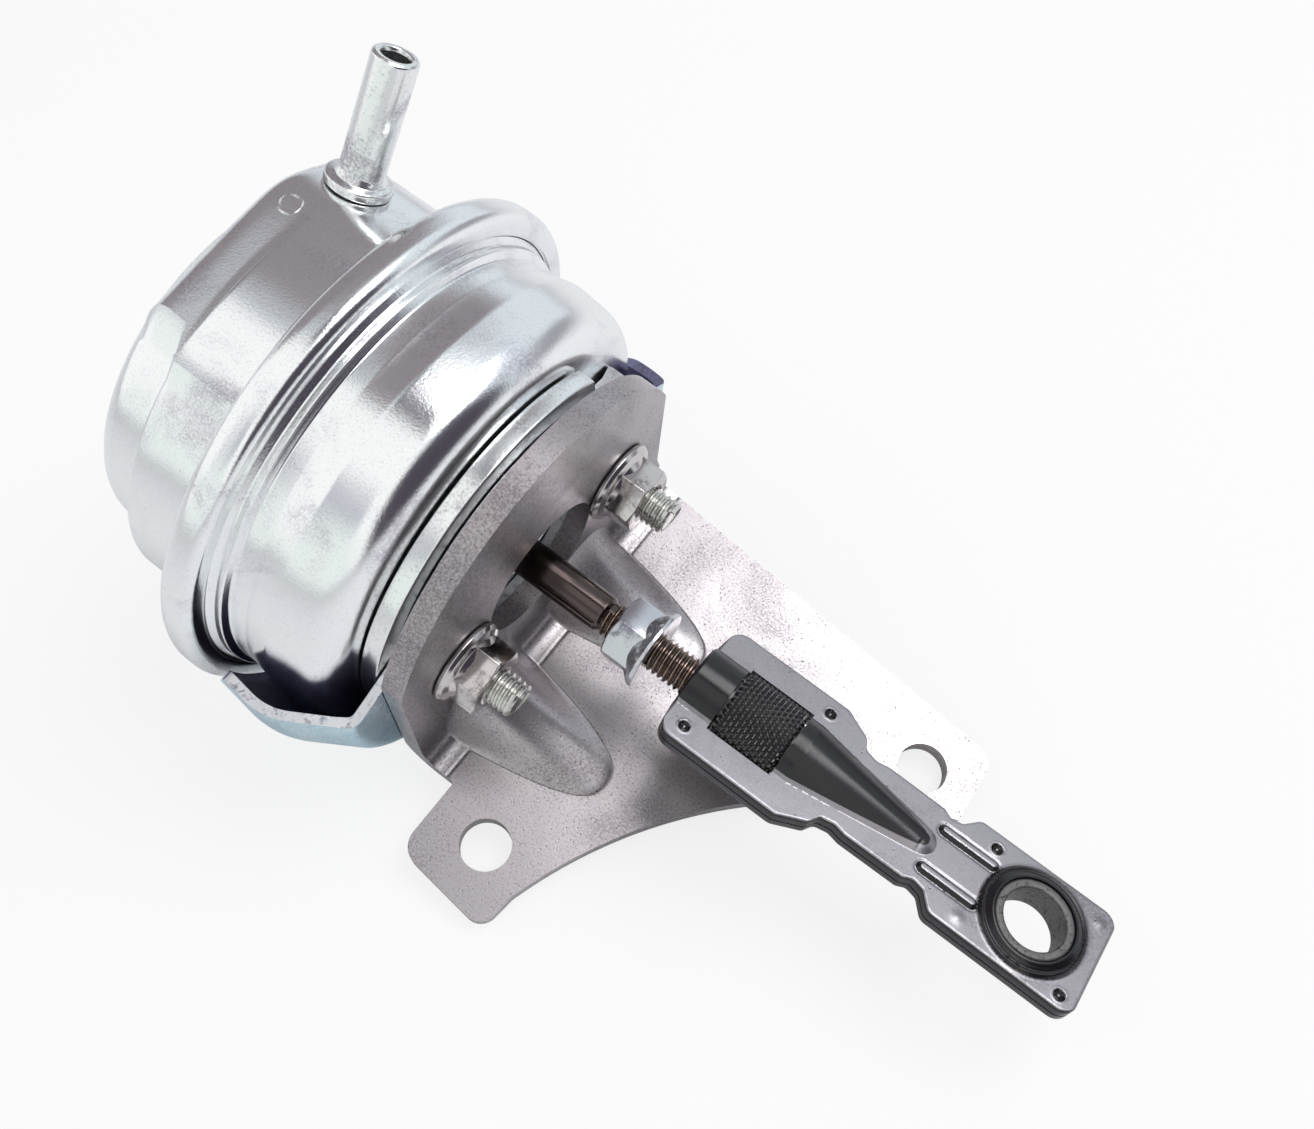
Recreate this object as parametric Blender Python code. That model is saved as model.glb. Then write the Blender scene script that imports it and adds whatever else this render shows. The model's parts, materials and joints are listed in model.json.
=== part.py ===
"""Wastegate actuator: a vacuum canister on a pressed bracket, with a sprung rod and an adjustable end link.

Lengths are in millimetres and become metres in the helpers. Each piece is drawn in the canister's own
frame: X runs along the rod from the front face of the bracket's flange, and Y and Z are measured from
the rod's axis. An empty carries that frame to its place above the underside of the bracket's foot.
"""

import math

import bmesh
import bpy
from mathutils import Matrix, Vector

MM = 0.001
GAP = 0.2
STEPS = 32
SMALL_STEPS = 24
SHARP_ANGLE = math.radians(35)

# Where the rod stands over the bracket's foot
FOOT_THICK = 3.0
ROD_ABOVE_FOOT = 19.2
FLANGE_BEHIND_ORIGIN = 25.0

# Rear cover. The rim's radius drives the canister
COVER_WALL = 1.0
RIM_RADIUS = 35.1
RIM_BACK = -29.0
RIM_WIDTH = 5.0
RIM_LIP_DEPTH = 3.1
RIM_LIP_RADIUS = RIM_RADIUS - RIM_LIP_DEPTH
REAR_BODY_INSET = 6.4
REAR_BODY_RADIUS = RIM_RADIUS - REAR_BODY_INSET
REAR_BACK = -48.6
REAR_BACK_INSET = 3.3
REAR_BACK_RADIUS = REAR_BODY_RADIUS - REAR_BACK_INSET
REAR_BACK_CORNER = 3.2
REAR_STEP = -41.4
REAR_STEP_LENGTH = 1.7
REAR_STEP_CORNER = 1.4
REAR_STEP_FILLET = 1.2
REAR_BACK_FLARE = 0.4
RIM_CORNER = 1.9
RIM_NECK_FILLET = 1.8
PAD_BACK = -46.2
PAD_WIDTH = 17.0
PAD_RISE = 1.2
PAD_HEIGHT = REAR_BODY_RADIUS + PAD_RISE
PAD_SIDE_SLOPE = 0.8
PAD_BACK_SLOPE = 0.15
PAD_CORNER = 2.6

# Hose nipple
NIPPLE_CENTRE = -40.0
NIPPLE_DRILL_INWARD = 10.4
NIPPLE_DRILL_OUTWARD = 14.6
NIPPLE_DRILL = (REAR_BACK_RADIUS - NIPPLE_DRILL_INWARD, REAR_BACK_RADIUS + NIPPLE_DRILL_OUTWARD)
NIPPLE_ANGLE = 56.0
NIPPLE_LENGTH = 16.7
NIPPLE_TIP = PAD_HEIGHT + NIPPLE_LENGTH
NIPPLE_RADIUS = 2.75
NIPPLE_BORE = 1.7
NIPPLE_COLLAR_RADIUS = 4.1
NIPPLE_COLLAR_HEIGHT = 1.3
NIPPLE_SPIGOT = 3.0

# Front cover
FRONT_FACE = -6.8
FRONT_COLLAR_CLEARANCE = 0.5
FRONT_COLLAR_RADIUS = RIM_LIP_RADIUS - FRONT_COLLAR_CLEARANCE
FRONT_COLLAR_LENGTH = 1.7
FRONT_COLLAR_STEP = 1.4
FRONT_NECK_RADIUS = FRONT_COLLAR_RADIUS - FRONT_COLLAR_STEP
FRONT_NECK_LENGTH = 3.6
FRONT_BULGE = 0.9
FRONT_BULGE_RADIUS = FRONT_NECK_RADIUS + FRONT_BULGE
FRONT_SHOULDER = 7.5
FRONT_SHOULDER_WIDTH = 7.0
FRONT_FACE_RADIUS = FRONT_BULGE_RADIUS - FRONT_SHOULDER_WIDTH
RIM_FLANGE_CLEARANCE = 0.5
RIM_FLANGE_RADIUS = RIM_RADIUS - COVER_WALL - RIM_FLANGE_CLEARANCE

# Diaphragm, piston and spring
DIAPHRAGM_THICK = 0.8
BEAD_THICK = 1.5
ROLL_RADIUS = 1.7
ROLL_CLEARANCE = 0.9
ROLL_SPACE = 2 * ROLL_RADIUS + DIAPHRAGM_THICK + GAP + ROLL_CLEARANCE
PISTON_RADIUS = REAR_BODY_RADIUS - COVER_WALL - ROLL_SPACE
PISTON_DEPTH = 7.5
PISTON_WALL = 1.0
RETAINER_INSET = 5.4
RETAINER_RADIUS = PISTON_RADIUS - RETAINER_INSET
RETAINER_LIP = 1.6
RIVET_WASHER_RADIUS = 5.5
RIVET_WASHER_THICK = 0.8
RIVET_RADIUS = 3.2
RIVET_HEIGHT = 1.2
SPRING_INSET = 8.4
SPRING_RADIUS = PISTON_RADIUS - SPRING_INSET
SPRING_WIRE = 2.2
SPRING_TURNS = 5.5
SPRING_POINTS = 14
SEAT_THICK = 0.8
SEAT_INSET = 6.4
SEAT_RADIUS = REAR_BACK_RADIUS - SEAT_INSET
SEAT_HUB_INSET = 2.5
SEAT_HUB_RADIUS = SPRING_RADIUS - SEAT_HUB_INSET
SEAT_HUB_HEIGHT = 3.0

# Rod and its bearing
ROD_RADIUS = 2.48
ROD_NECK_RADIUS = 2.0
ROD_RUN_CLEARANCE = 0.09
ROD_THREAD_START = 10.4
ROD_THREAD_RADIUS = 2.3
ROD_END = 40.0
ROD_END_CHAMFER = 0.8
GUIDE_BODY_RADIUS = 5.8
GUIDE_FLANGE_RADIUS = 8.2
GUIDE_FLANGE_THICK = 1.2
GUIDE_FRONT = -4.9
GUIDE_BACK = -10.9
GUIDE_LIP = 0.6
GUIDE_BORE = 4.0
BUSH_LENGTH = 3.4

# Stud plate, studs and flange nuts
STUD_PLATE_THICK = 1.9
STUD_PLATE_OVERHANG = 0.2
STUD_PLATE_RADIUS = FRONT_FACE_RADIUS + STUD_PLATE_OVERHANG
STUD_PLATE_HOLE = 9.9
STUD_PLATE_NOTCH_SIDE = 16.6
STUD_PLATE_NOTCH_BASE = 12.9
STUD_SPACING = 30.2
STUD_RADIUS = 2.35
STUD_CLEARANCE = 0.35
STUD_HEAD_RADIUS = 4.2
STUD_HEAD_THICK = 0.9
STUD_TIP = 8.7
STUD_CHAMFER = 0.6
NUT_FLANGE_RADIUS = 5.7
NUT_FLANGE_THICK = 1.1
NUT_HEIGHT = 5.0
NUT_ACROSS_FLATS = 8.1
NUT_CHAMFER = 0.5
NUT_THREAD_CLEARANCE = 0.12
JAM_NUT_BACK = 12.3
JAM_NUT_HEIGHT = 5.5
JAM_NUT_FLANGE_RADIUS = 5.35

# Heat shield
SHIELD_THICK = 1.2
SHIELD_HOLE = 10.3
SHIELD_CORNER_INSET = 4.9
SHIELD_CORNER_RADIUS = RIM_RADIUS - SHIELD_CORNER_INSET
SHIELD_CORNER_FILLET = 2.2
SHIELD_BELLY_LENGTH = 9.4
SHIELD_BELLY_RISE = 0.6
SHIELD_BELLY_RADIUS = RIM_RADIUS + SHIELD_BELLY_RISE
SHIELD_BELLY_FILLET = 9.0
SHIELD_RIM_CLEARANCE = 0.7
SHIELD_END_INSET = 0.7
SHIELD_END_RADIUS = RIM_RADIUS - SHIELD_END_INSET
SHIELD_LEFT_CUT = 4.0
SHIELD_LEFT_EDGE = 16.1
SHIELD_LEFT_SLOPE = 2.6
SHIELD_RIGHT_CUT = 0.3
SHIELD_RIGHT_SLOPE = 1.0
SHIELD_TAB_RADIUS = 22.0
SHIELD_TAB_ANGLE = 22.0

# Bracket
FLANGE_THICK = 3.0
TRIM_ALLOWANCE = 0.3
FLANGE_NUT_MARGIN = 4.2
FLANGE_HALF_WIDTH = STUD_SPACING / 2 + NUT_FLANGE_RADIUS + FLANGE_NUT_MARGIN
FLANGE_ROUNDING = 1.3
FLANGE_RADIUS = FLANGE_HALF_WIDTH + FLANGE_ROUNDING
FLANGE_HOLE_RADIUS = 9.7
BEND_RADIUS = 3.5
GUSSET_HEIGHT = 11.0
GUSSET_LENGTH = 21.5
GUSSET_FULLNESS = 0.62
LEFT_GUSSET_CENTRE = -13.1
LEFT_GUSSET_HALF_WIDTH = 7.5
RIGHT_GUSSET_CENTRE = 7.6
RIGHT_GUSSET_HALF_WIDTH = 7.2
GUSSET_CREST = 2.8
FOOT_HOLE_RADIUS = 3.4
EAR_SIDE = 5.0
EAR_END = -37.4
EAR_FRONT = 19.6
EAR_CORNER = 3.0
EAR_SKEW = 1.6
FAR_EDGE_ROOT = 25.8
FAR_EDGE_TIP = 21.4
FOOT_TIP = 60.6
FOOT_CORNER = 2.6
LEFT_HOLE = (EAR_SIDE + 8.4, EAR_END + 8.6)
RIGHT_HOLE = (FOOT_TIP - 7.7, FAR_EDGE_TIP - 7.1)
SCALLOP_TIP = (FOOT_TIP, FAR_EDGE_TIP - 9.91)
SCALLOP_EAR = (EAR_FRONT + 0.6, EAR_END + 5.54)
SCALLOP_DEPTH = 6.93
SCALLOP_STEPS = 14

# End link
LINK_ROLL = -0.31
LINK_PLATE_THICK = 1.25
LINK_PART_GAP = 0.1
LINK_MOUTH = 23.5
LINK_END = 80.1
LINK_TUBE_RADIUS = 4.75
LINK_TUBE_WALL = 1.2
LINK_CONE_START = 39.5
LINK_TIP = 58.0
LINK_TIP_RADIUS = 0.9
MOUTH_HALF_WIDTH = 9.25
MOUTH_FLAT_END = 40.8
WAIST_HALF_WIDTH = 5.75
WAIST_START = 46.0
WAIST_END = 58.2
EYE_HALF_WIDTH = 7.5
EYE_FLAT_START = 61.0
LINK_CORNER = 2.0
LINK_RIB_START = 57.6
LINK_RIB_END = 64.2
LINK_RIB_OFFSET = 3.0
LINK_RIB_WIDTH = 1.3
LINK_RIB_HEIGHT = 0.35
EYE_CENTRE = 71.5
EYE_BORE_RADIUS = 3.82
EYE_BUSH_RADIUS = 4.92
EYE_BUSH_HALF_LENGTH = 2.15
EYE_COLLAR_RADIUS = 6.6
EYE_COLLAR_HEIGHT = 0.6
ADJUSTER_RADIUS = 5.0
ADJUSTER_START = 28.8
ADJUSTER_LENGTH = 8.7
ADJUSTER_JOURNAL_CLEARANCE = 0.12
ADJUSTER_END_CLEARANCE = 0.25
ADJUSTER_CHAMFER = 0.5

# Places that follow from the sizes
FLANGE_BACK = -FLANGE_THICK
SHIELD_FACE = FLANGE_BACK - GAP
STUD_PLATE_FACE = SHIELD_FACE - SHIELD_THICK - GAP
STUD_PLATE_BACK = STUD_PLATE_FACE - STUD_PLATE_THICK
RIM_FRONT = RIM_BACK + RIM_WIDTH
COVER_FLANGE_FACE = RIM_FRONT - COVER_WALL - GAP / 2
BEAD_FACE = COVER_FLANGE_FACE - COVER_WALL - GAP / 2
COVER_INNER_FACE = FRONT_FACE - COVER_WALL
RETAINER_FACE = GUIDE_BACK - GAP
DIAPHRAGM_FACE = RETAINER_FACE - PISTON_WALL - GAP
CROWN_FACE = DIAPHRAGM_FACE - DIAPHRAGM_THICK - GAP
CROWN_BACK = CROWN_FACE - PISTON_WALL
WASHER_FACE = CROWN_BACK - GAP
RIVET_FACE = WASHER_FACE - RIVET_WASHER_THICK - GAP
SEAT_BACK = REAR_BACK + COVER_WALL + GAP
STUD_HEAD_FACE = COVER_INNER_FACE - GAP
STUD_HALF_SPACING = STUD_SPACING / 2
ADJUSTER_END = ADJUSTER_START + ADJUSTER_LENGTH
JOURNAL_RADIUS = LINK_TUBE_RADIUS - LINK_TUBE_WALL - ADJUSTER_JOURNAL_CLEARANCE
ROD_HOLE_RADIUS = ROD_RADIUS + ROD_RUN_CLEARANCE

FINISHES = {
    "zinc": ((0.78, 0.79, 0.80), 0.26, 1.0),
    "shield_steel": ((0.50, 0.60, 0.68), 0.34, 1.0),
    "tumbled_steel": ((0.50, 0.47, 0.46), 0.50, 1.0),
    "dark_steel": ((0.10, 0.085, 0.08), 0.26, 1.0),
    "black_steel": ((0.035, 0.033, 0.038), 0.34, 0.7),
    "sintered": ((0.16, 0.155, 0.15), 0.60, 0.8),
    "spring_steel": ((0.30, 0.30, 0.32), 0.35, 1.0),
    "bronze": ((0.45, 0.30, 0.16), 0.40, 1.0),
    "rubber": ((0.03, 0.03, 0.032), 0.70, 0.0),
}


def clear_scene():
    """Removes the objects that the scene starts with."""
    for obj in list(bpy.data.objects):
        bpy.data.objects.remove(obj, do_unlink=True)


def finish(name):
    """Returns the Principled material of that name."""
    if name in bpy.data.materials:
        return bpy.data.materials[name]
    colour, roughness, metallic = FINISHES[name]
    material = bpy.data.materials.new(name)
    material.use_nodes = True
    shader = material.node_tree.nodes["Principled BSDF"]
    shader.inputs["Base Color"].default_value = (*colour, 1.0)
    shader.inputs["Roughness"].default_value = roughness
    shader.inputs["Metallic"].default_value = metallic
    material.diffuse_color = (*colour, 1.0)
    return material


def add_empty(name, location, parent=None, roll=0.0):
    """Adds an empty that carries the pieces of one sub-assembly."""
    empty = bpy.data.objects.new(name, None)
    bpy.context.scene.collection.objects.link(empty)
    empty.location = [value * MM for value in location]
    empty.rotation_euler = (roll, 0.0, 0.0)
    empty.parent = parent
    return empty


def add_object(name, bm, material, parent):
    """Turns a bmesh in millimetres into a smooth-shaded object in metres."""
    bmesh.ops.remove_doubles(bm, verts=bm.verts, dist=1e-4)
    bmesh.ops.recalc_face_normals(bm, faces=bm.faces)
    bmesh.ops.scale(bm, vec=(MM, MM, MM), verts=bm.verts)
    mesh = bpy.data.meshes.new(name)
    bm.to_mesh(mesh)
    bm.free()
    mesh.shade_smooth()
    mesh.set_sharp_from_angle(angle=SHARP_ANGLE)
    mesh.materials.append(finish(material))
    obj = bpy.data.objects.new(name, mesh)
    bpy.context.scene.collection.objects.link(obj)
    obj.parent = parent
    return obj


def as_cutter(obj):
    """Keeps a helper out of the model."""
    obj.hide_render = True
    obj.display_type = "WIRE"
    return obj


def boolean(obj, operation, *others):
    """Joins or cuts a piece with each of the helpers."""
    for other in others:
        modifier = obj.modifiers.new(f"{operation.lower()}_{other.name}", "BOOLEAN")
        modifier.operation = operation
        modifier.solver = "EXACT"
        modifier.object = as_cutter(other)


def rounded(corners, closed=False):
    """Rounds a polyline.

    Each corner is (u, v) or (u, v, radius, segments), and the radius is limited to what its two sides hold.
    """
    points = []
    count = len(corners)
    for index, corner in enumerate(corners):
        here = Vector(corner[:2])
        inner = closed or 0 < index < count - 1
        if len(corner) == 2 or not inner or corner[2] <= 0:
            points.append(tuple(here))
            continue
        before = Vector(corners[index - 1][:2]) - here
        after = Vector(corners[(index + 1) % count][:2]) - here
        half = before.angle(after) / 2
        reach = min(corner[2] / math.tan(half), before.length * 0.49, after.length * 0.49)
        radius = reach * math.tan(half)
        centre = here + (before.normalized() + after.normalized()).normalized() * (radius / math.sin(half))
        start = here + before.normalized() * reach - centre
        end = here + after.normalized() * reach - centre
        turn = start.angle_signed(end)
        for step in range(corner[3] + 1):
            spin = Matrix.Rotation(-turn * step / corner[3], 2)
            points.append(tuple(centre + spin @ start))
    return points


def offset(path, distance):
    """Returns a polyline moved sideways, to the left of its direction, by the distance."""
    moved = []
    last = len(path) - 1
    for index, point in enumerate(path):
        before = Vector(path[max(index, 1)]) - Vector(path[max(index, 1) - 1])
        after = Vector(path[min(index, last - 1) + 1]) - Vector(path[min(index, last - 1)])
        left = Vector((-before.y, before.x)).normalized() + Vector((-after.y, after.x)).normalized()
        left.normalize()
        stretch = left.dot(Vector((-before.y, before.x)).normalized())
        moved.append(tuple(Vector(point) + left * (distance / max(stretch, 0.3))))
    return moved


def sheet_section(path, thickness):
    """Returns the closed section of a sheet whose outer face follows the path, with its wall on the left."""
    return path + offset(path, thickness)[::-1]


def turned(name, section, material, parent, steps=STEPS):
    """Spins a closed section of (x, radius) points about the X axis."""
    bm = bmesh.new()
    points = [bm.verts.new((x, 0.0, max(radius, 0.0))) for x, radius in section]
    edges = [bm.edges.new((points[i - 1], points[i])) for i in range(len(points))]
    on_axis = [edge for edge in edges if all(vert.co.z < 1e-6 for vert in edge.verts)]
    bmesh.ops.delete(bm, geom=on_axis, context="EDGES")
    bmesh.ops.spin(
        bm,
        geom=bm.verts[:] + bm.edges[:],
        cent=(0, 0, 0),
        axis=(1, 0, 0),
        angle=2 * math.pi,
        steps=steps,
        use_merge=True,
    )
    return add_object(name, bm, material, parent)


def prism(name, outline, low, high, axis, material="zinc", parent=None):
    """Extrudes a closed outline along an axis.

    The outline's points are (y, z) for axis X, (x, z) for axis Y and (x, y) for axis Z.
    """
    bm = bmesh.new()
    if axis == "X":
        points = [bm.verts.new((low, u, v)) for u, v in outline]
        along = (high - low, 0, 0)
    elif axis == "Y":
        points = [bm.verts.new((u, low, v)) for u, v in outline]
        along = (0, high - low, 0)
    else:
        points = [bm.verts.new((u, v, low)) for u, v in outline]
        along = (0, 0, high - low)
    face = bm.faces.new(points)
    sides = bmesh.ops.extrude_face_region(bm, geom=[face])
    moved = [item for item in sides["geom"] if isinstance(item, bmesh.types.BMVert)]
    bmesh.ops.translate(bm, vec=along, verts=moved)
    return add_object(name, bm, material, parent)


def drill(name, centre, radius, low, high, axis, parent, steps=SMALL_STEPS):
    """Makes a round cutter along an axis."""
    ring = [
        (centre[0] + radius * math.cos(2 * math.pi * i / steps), centre[1] + radius * math.sin(2 * math.pi * i / steps))
        for i in range(steps)
    ]
    return prism(name, ring, low, high, axis, parent=parent)


def arc(centre, radius, start, end, steps):
    """Returns the points of an arc, with its angles in degrees."""
    angles = [math.radians(start + (end - start) * i / steps) for i in range(steps + 1)]
    return [(centre[0] + radius * math.cos(a), centre[1] + radius * math.sin(a)) for a in angles]


def hexagon(across_flats, turn=0.0):
    """Returns the corners of a hexagon."""
    corner = across_flats / math.sqrt(3)
    return arc((0, 0), corner, turn, turn + 300, 5)


def hex_flange_nut(name, back, height, facing, radii, material, parent, centre=(0.0, 0.0)):
    """Makes a flange nut along X, whose flange looks to -X when facing is 1 and to +X when it is -1.

    The radii are the thread's and the flange's. The hexagon is a prism cut by a chamfer cone, joined to a turned flange, and the thread's bore is drilled.
    """
    thread_radius, flange_radius = radii
    bore = thread_radius + NUT_THREAD_CLEARANCE
    corner = NUT_ACROSS_FLATS / math.sqrt(3)
    cone_radius = NUT_ACROSS_FLATS / 2 * 1.02
    body = [
        (0.0, 0.0),
        (0.0, flange_radius),
        (NUT_FLANGE_THICK * 0.5, flange_radius),
        (NUT_FLANGE_THICK, corner),
        (height - NUT_CHAMFER, corner * 1.02),
        (height, cone_radius),
        (height, 0.0),
    ]
    flange = [(0.0, 0.0), (0.0, flange_radius), (NUT_FLANGE_THICK * 0.5, flange_radius)]
    flange += [(NUT_FLANGE_THICK + 0.9, NUT_ACROSS_FLATS / 2), (NUT_FLANGE_THICK + 0.9, 0.0)]
    place = add_empty(f"{name}_place", (back, *centre), parent)
    if facing < 0:
        place.rotation_euler = (0.0, math.pi, 0.0)
    nut = prism(name, hexagon(NUT_ACROSS_FLATS), NUT_FLANGE_THICK * 0.5, height, "X", material, place)
    boolean(nut, "INTERSECT", turned(f"{name}_chamfer", body, material, place, SMALL_STEPS))
    boolean(nut, "UNION", turned(f"{name}_flange", flange, material, place, SMALL_STEPS))
    boolean(nut, "DIFFERENCE", drill(f"{name}_bore", (0, 0), bore, -1.0, height + 1.0, "X", place, 20))
    return nut


def make_rear_cover(parent):
    """Draws the vacuum cup with its rolled rim, its rear step and the pad under the hose nipple."""
    outer = rounded(
        [
            (RIM_FRONT, 0.0),
            (RIM_FRONT, RIM_RADIUS, RIM_CORNER, 4),
            (RIM_BACK, RIM_RADIUS, RIM_CORNER, 4),
            (RIM_BACK, REAR_BODY_RADIUS, RIM_NECK_FILLET, 3),
            (REAR_STEP + REAR_STEP_LENGTH, REAR_BODY_RADIUS, REAR_STEP_CORNER, 3),
            (REAR_STEP, REAR_BACK_RADIUS + REAR_BACK_FLARE, REAR_STEP_FILLET, 2),
            (REAR_BACK, REAR_BACK_RADIUS, REAR_BACK_CORNER, 4),
            (REAR_BACK, 0.0),
        ]
    )
    body_inside = REAR_BODY_RADIUS - COVER_WALL
    back_inside = REAR_BACK_RADIUS - COVER_WALL
    inner = rounded(
        [
            (RIM_FRONT + 1.0, 0.0),
            (RIM_FRONT + 1.0, RIM_LIP_RADIUS),
            (RIM_FRONT - COVER_WALL, RIM_LIP_RADIUS),
            (RIM_FRONT - COVER_WALL, RIM_RADIUS - COVER_WALL, 0.7, 2),
            (RIM_BACK + COVER_WALL, RIM_RADIUS - COVER_WALL, 0.7, 2),
            (RIM_BACK + COVER_WALL, body_inside, 2.0, 3),
            (REAR_STEP + REAR_STEP_LENGTH + 0.3, body_inside, 1.0, 2),
            (REAR_STEP + 0.5, back_inside + REAR_BACK_FLARE, REAR_STEP_CORNER, 2),
            (REAR_BACK + COVER_WALL, back_inside, REAR_BACK_CORNER - COVER_WALL, 3),
            (REAR_BACK + COVER_WALL, 0.0),
        ]
    )
    cover = turned("rear_cover", outer, "zinc", parent)
    pad = make_pad("pad_outside", 0.0, parent)
    hollow = turned("rear_cover_inside", inner, "zinc", parent)
    pocket = make_pad("pad_inside", COVER_WALL, parent)
    boolean(cover, "UNION", pad)
    boolean(cover, "DIFFERENCE", hollow, pocket)
    hole = drill("nipple_hole", (NIPPLE_CENTRE, 0.0), NIPPLE_SPIGOT + GAP, *NIPPLE_DRILL, "Z", parent)
    hole.rotation_euler = (math.radians(NIPPLE_ANGLE - 90), 0.0, 0.0)
    boolean(cover, "DIFFERENCE", hole)
    return cover


def make_pad(name, wall, parent):
    """Makes the flat-topped pad between the rear step and the rim, or the pocket inside it."""
    base = REAR_BACK_RADIUS - 6.0
    top = PAD_HEIGHT - wall
    bm = bmesh.new()
    bmesh.ops.create_cube(bm, size=1.0)
    for vert in bm.verts:
        drop = 0.0 if vert.co.z > 0 else top - base
        half_width = PAD_WIDTH / 2 - wall + PAD_SIDE_SLOPE * drop
        back = PAD_BACK + wall - PAD_BACK_SLOPE * drop
        front = RIM_BACK + wall + COVER_WALL / 2
        vert.co = (front if vert.co.x > 0 else back, math.copysign(half_width, vert.co.y), top - drop)
    raised = [edge for edge in bm.edges if max(vert.co.z for vert in edge.verts) > base + 0.1]
    raised = [edge for edge in raised if min(vert.co.x for vert in edge.verts) < RIM_BACK]
    bmesh.ops.bevel(
        bm, geom=raised, offset=PAD_CORNER - wall * 0.5, offset_type="OFFSET", segments=3, profile=0.5, affect="EDGES"
    )
    pad = add_object(name, bm, "zinc", parent)
    pad.rotation_euler = (math.radians(NIPPLE_ANGLE - 90), 0.0, 0.0)
    return pad


def make_nipple(parent):
    """Turns the hose nipple, whose spigot stands in the pad's hole."""
    seat = PAD_HEIGHT + GAP
    section = [
        (seat - COVER_WALL - 1.2, NIPPLE_BORE),
        (seat - COVER_WALL - 1.2, NIPPLE_SPIGOT),
        (seat, NIPPLE_SPIGOT),
        (seat, NIPPLE_COLLAR_RADIUS),
        (seat + NIPPLE_COLLAR_HEIGHT * 0.7, NIPPLE_COLLAR_RADIUS),
        (seat + NIPPLE_COLLAR_HEIGHT, NIPPLE_COLLAR_RADIUS - 0.6),
        (seat + NIPPLE_COLLAR_HEIGHT, NIPPLE_RADIUS + 0.25),
        (seat + NIPPLE_COLLAR_HEIGHT + 1.2, NIPPLE_RADIUS),
        (NIPPLE_TIP - 0.5, NIPPLE_RADIUS),
        (NIPPLE_TIP, NIPPLE_RADIUS - 0.4),
        (NIPPLE_TIP, NIPPLE_BORE),
    ]
    nipple = turned("hose_nipple", section, "zinc", parent, SMALL_STEPS)
    nipple.location = (NIPPLE_CENTRE * MM, 0.0, 0.0)
    nipple.rotation_euler = Matrix.Rotation(math.radians(NIPPLE_ANGLE), 3, "X").to_euler()
    spin = Matrix.Rotation(math.radians(NIPPLE_ANGLE), 4, "X") @ Matrix.Rotation(math.radians(90), 4, "Z")
    nipple.rotation_euler = spin.to_euler()
    return nipple


def make_front_cover(parent):
    """Draws the front cup, with its neck behind a full shoulder, and cuts the stud holes."""
    outer = rounded(
        [
            (COVER_FLANGE_FACE, RIM_FLANGE_RADIUS),
            (COVER_FLANGE_FACE, FRONT_COLLAR_RADIUS, 0.4, 2),
            (COVER_FLANGE_FACE + FRONT_COLLAR_LENGTH, FRONT_COLLAR_RADIUS, 0.5, 2),
            (COVER_FLANGE_FACE + FRONT_COLLAR_LENGTH + 0.9, FRONT_NECK_RADIUS, 0.9, 2),
            (COVER_FLANGE_FACE + FRONT_COLLAR_LENGTH + FRONT_NECK_LENGTH, FRONT_NECK_RADIUS, 3.0, 2),
            (FRONT_FACE - FRONT_SHOULDER - 1.6, FRONT_BULGE_RADIUS, 3.0, 2),
            (FRONT_FACE - 1.2, FRONT_BULGE_RADIUS - 0.8, FRONT_SHOULDER, 6),
            (FRONT_FACE, FRONT_FACE_RADIUS - 3.0, 1.5, 2),
            (FRONT_FACE, GUIDE_BODY_RADIUS + GAP),
        ]
    )
    section = sheet_section(outer, -COVER_WALL)
    cover = turned("front_cover", section, "zinc", parent)
    for side, place in stud_places():
        hole = drill(f"front_cover_hole_{side}", place, STUD_RADIUS + STUD_CLEARANCE, -12.0, -2.0, "X", parent)
        boolean(cover, "DIFFERENCE", hole)
    return cover


def stud_places():
    """Returns the side and the (y, z) place of each stud."""
    return (("left", (-STUD_HALF_SPACING, 0.0)), ("right", (STUD_HALF_SPACING, 0.0)))


def make_diaphragm(parent):
    """Turns the rolling diaphragm: a bead in the rim, a roll behind the rim and a sleeve over the piston."""
    sleeve = PISTON_RADIUS + GAP + DIAPHRAGM_THICK
    front = rounded(
        [
            (BEAD_FACE, RIM_FLANGE_RADIUS - 0.2),
            (BEAD_FACE, RIM_LIP_RADIUS - 1.6),
            (BEAD_FACE - 0.5, RIM_LIP_RADIUS - 2.6),
            (BEAD_FACE - 0.5, sleeve + 2 * ROLL_RADIUS, 0.8, 2),
            (BEAD_FACE - 2.0, sleeve + ROLL_RADIUS, 0.8, 2),
            (BEAD_FACE - 0.5, sleeve, 0.8, 2),
            (DIAPHRAGM_FACE, sleeve - 0.2, 1.8, 3),
            (DIAPHRAGM_FACE, ROD_NECK_RADIUS + GAP),
        ]
    )
    section = sheet_section(front, -DIAPHRAGM_THICK)
    section[-1] = (BEAD_FACE - BEAD_THICK, RIM_FLANGE_RADIUS - 0.2)
    section[-2] = (BEAD_FACE - BEAD_THICK, RIM_LIP_RADIUS - 1.6)
    return turned("diaphragm", section, "rubber", parent)


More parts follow.
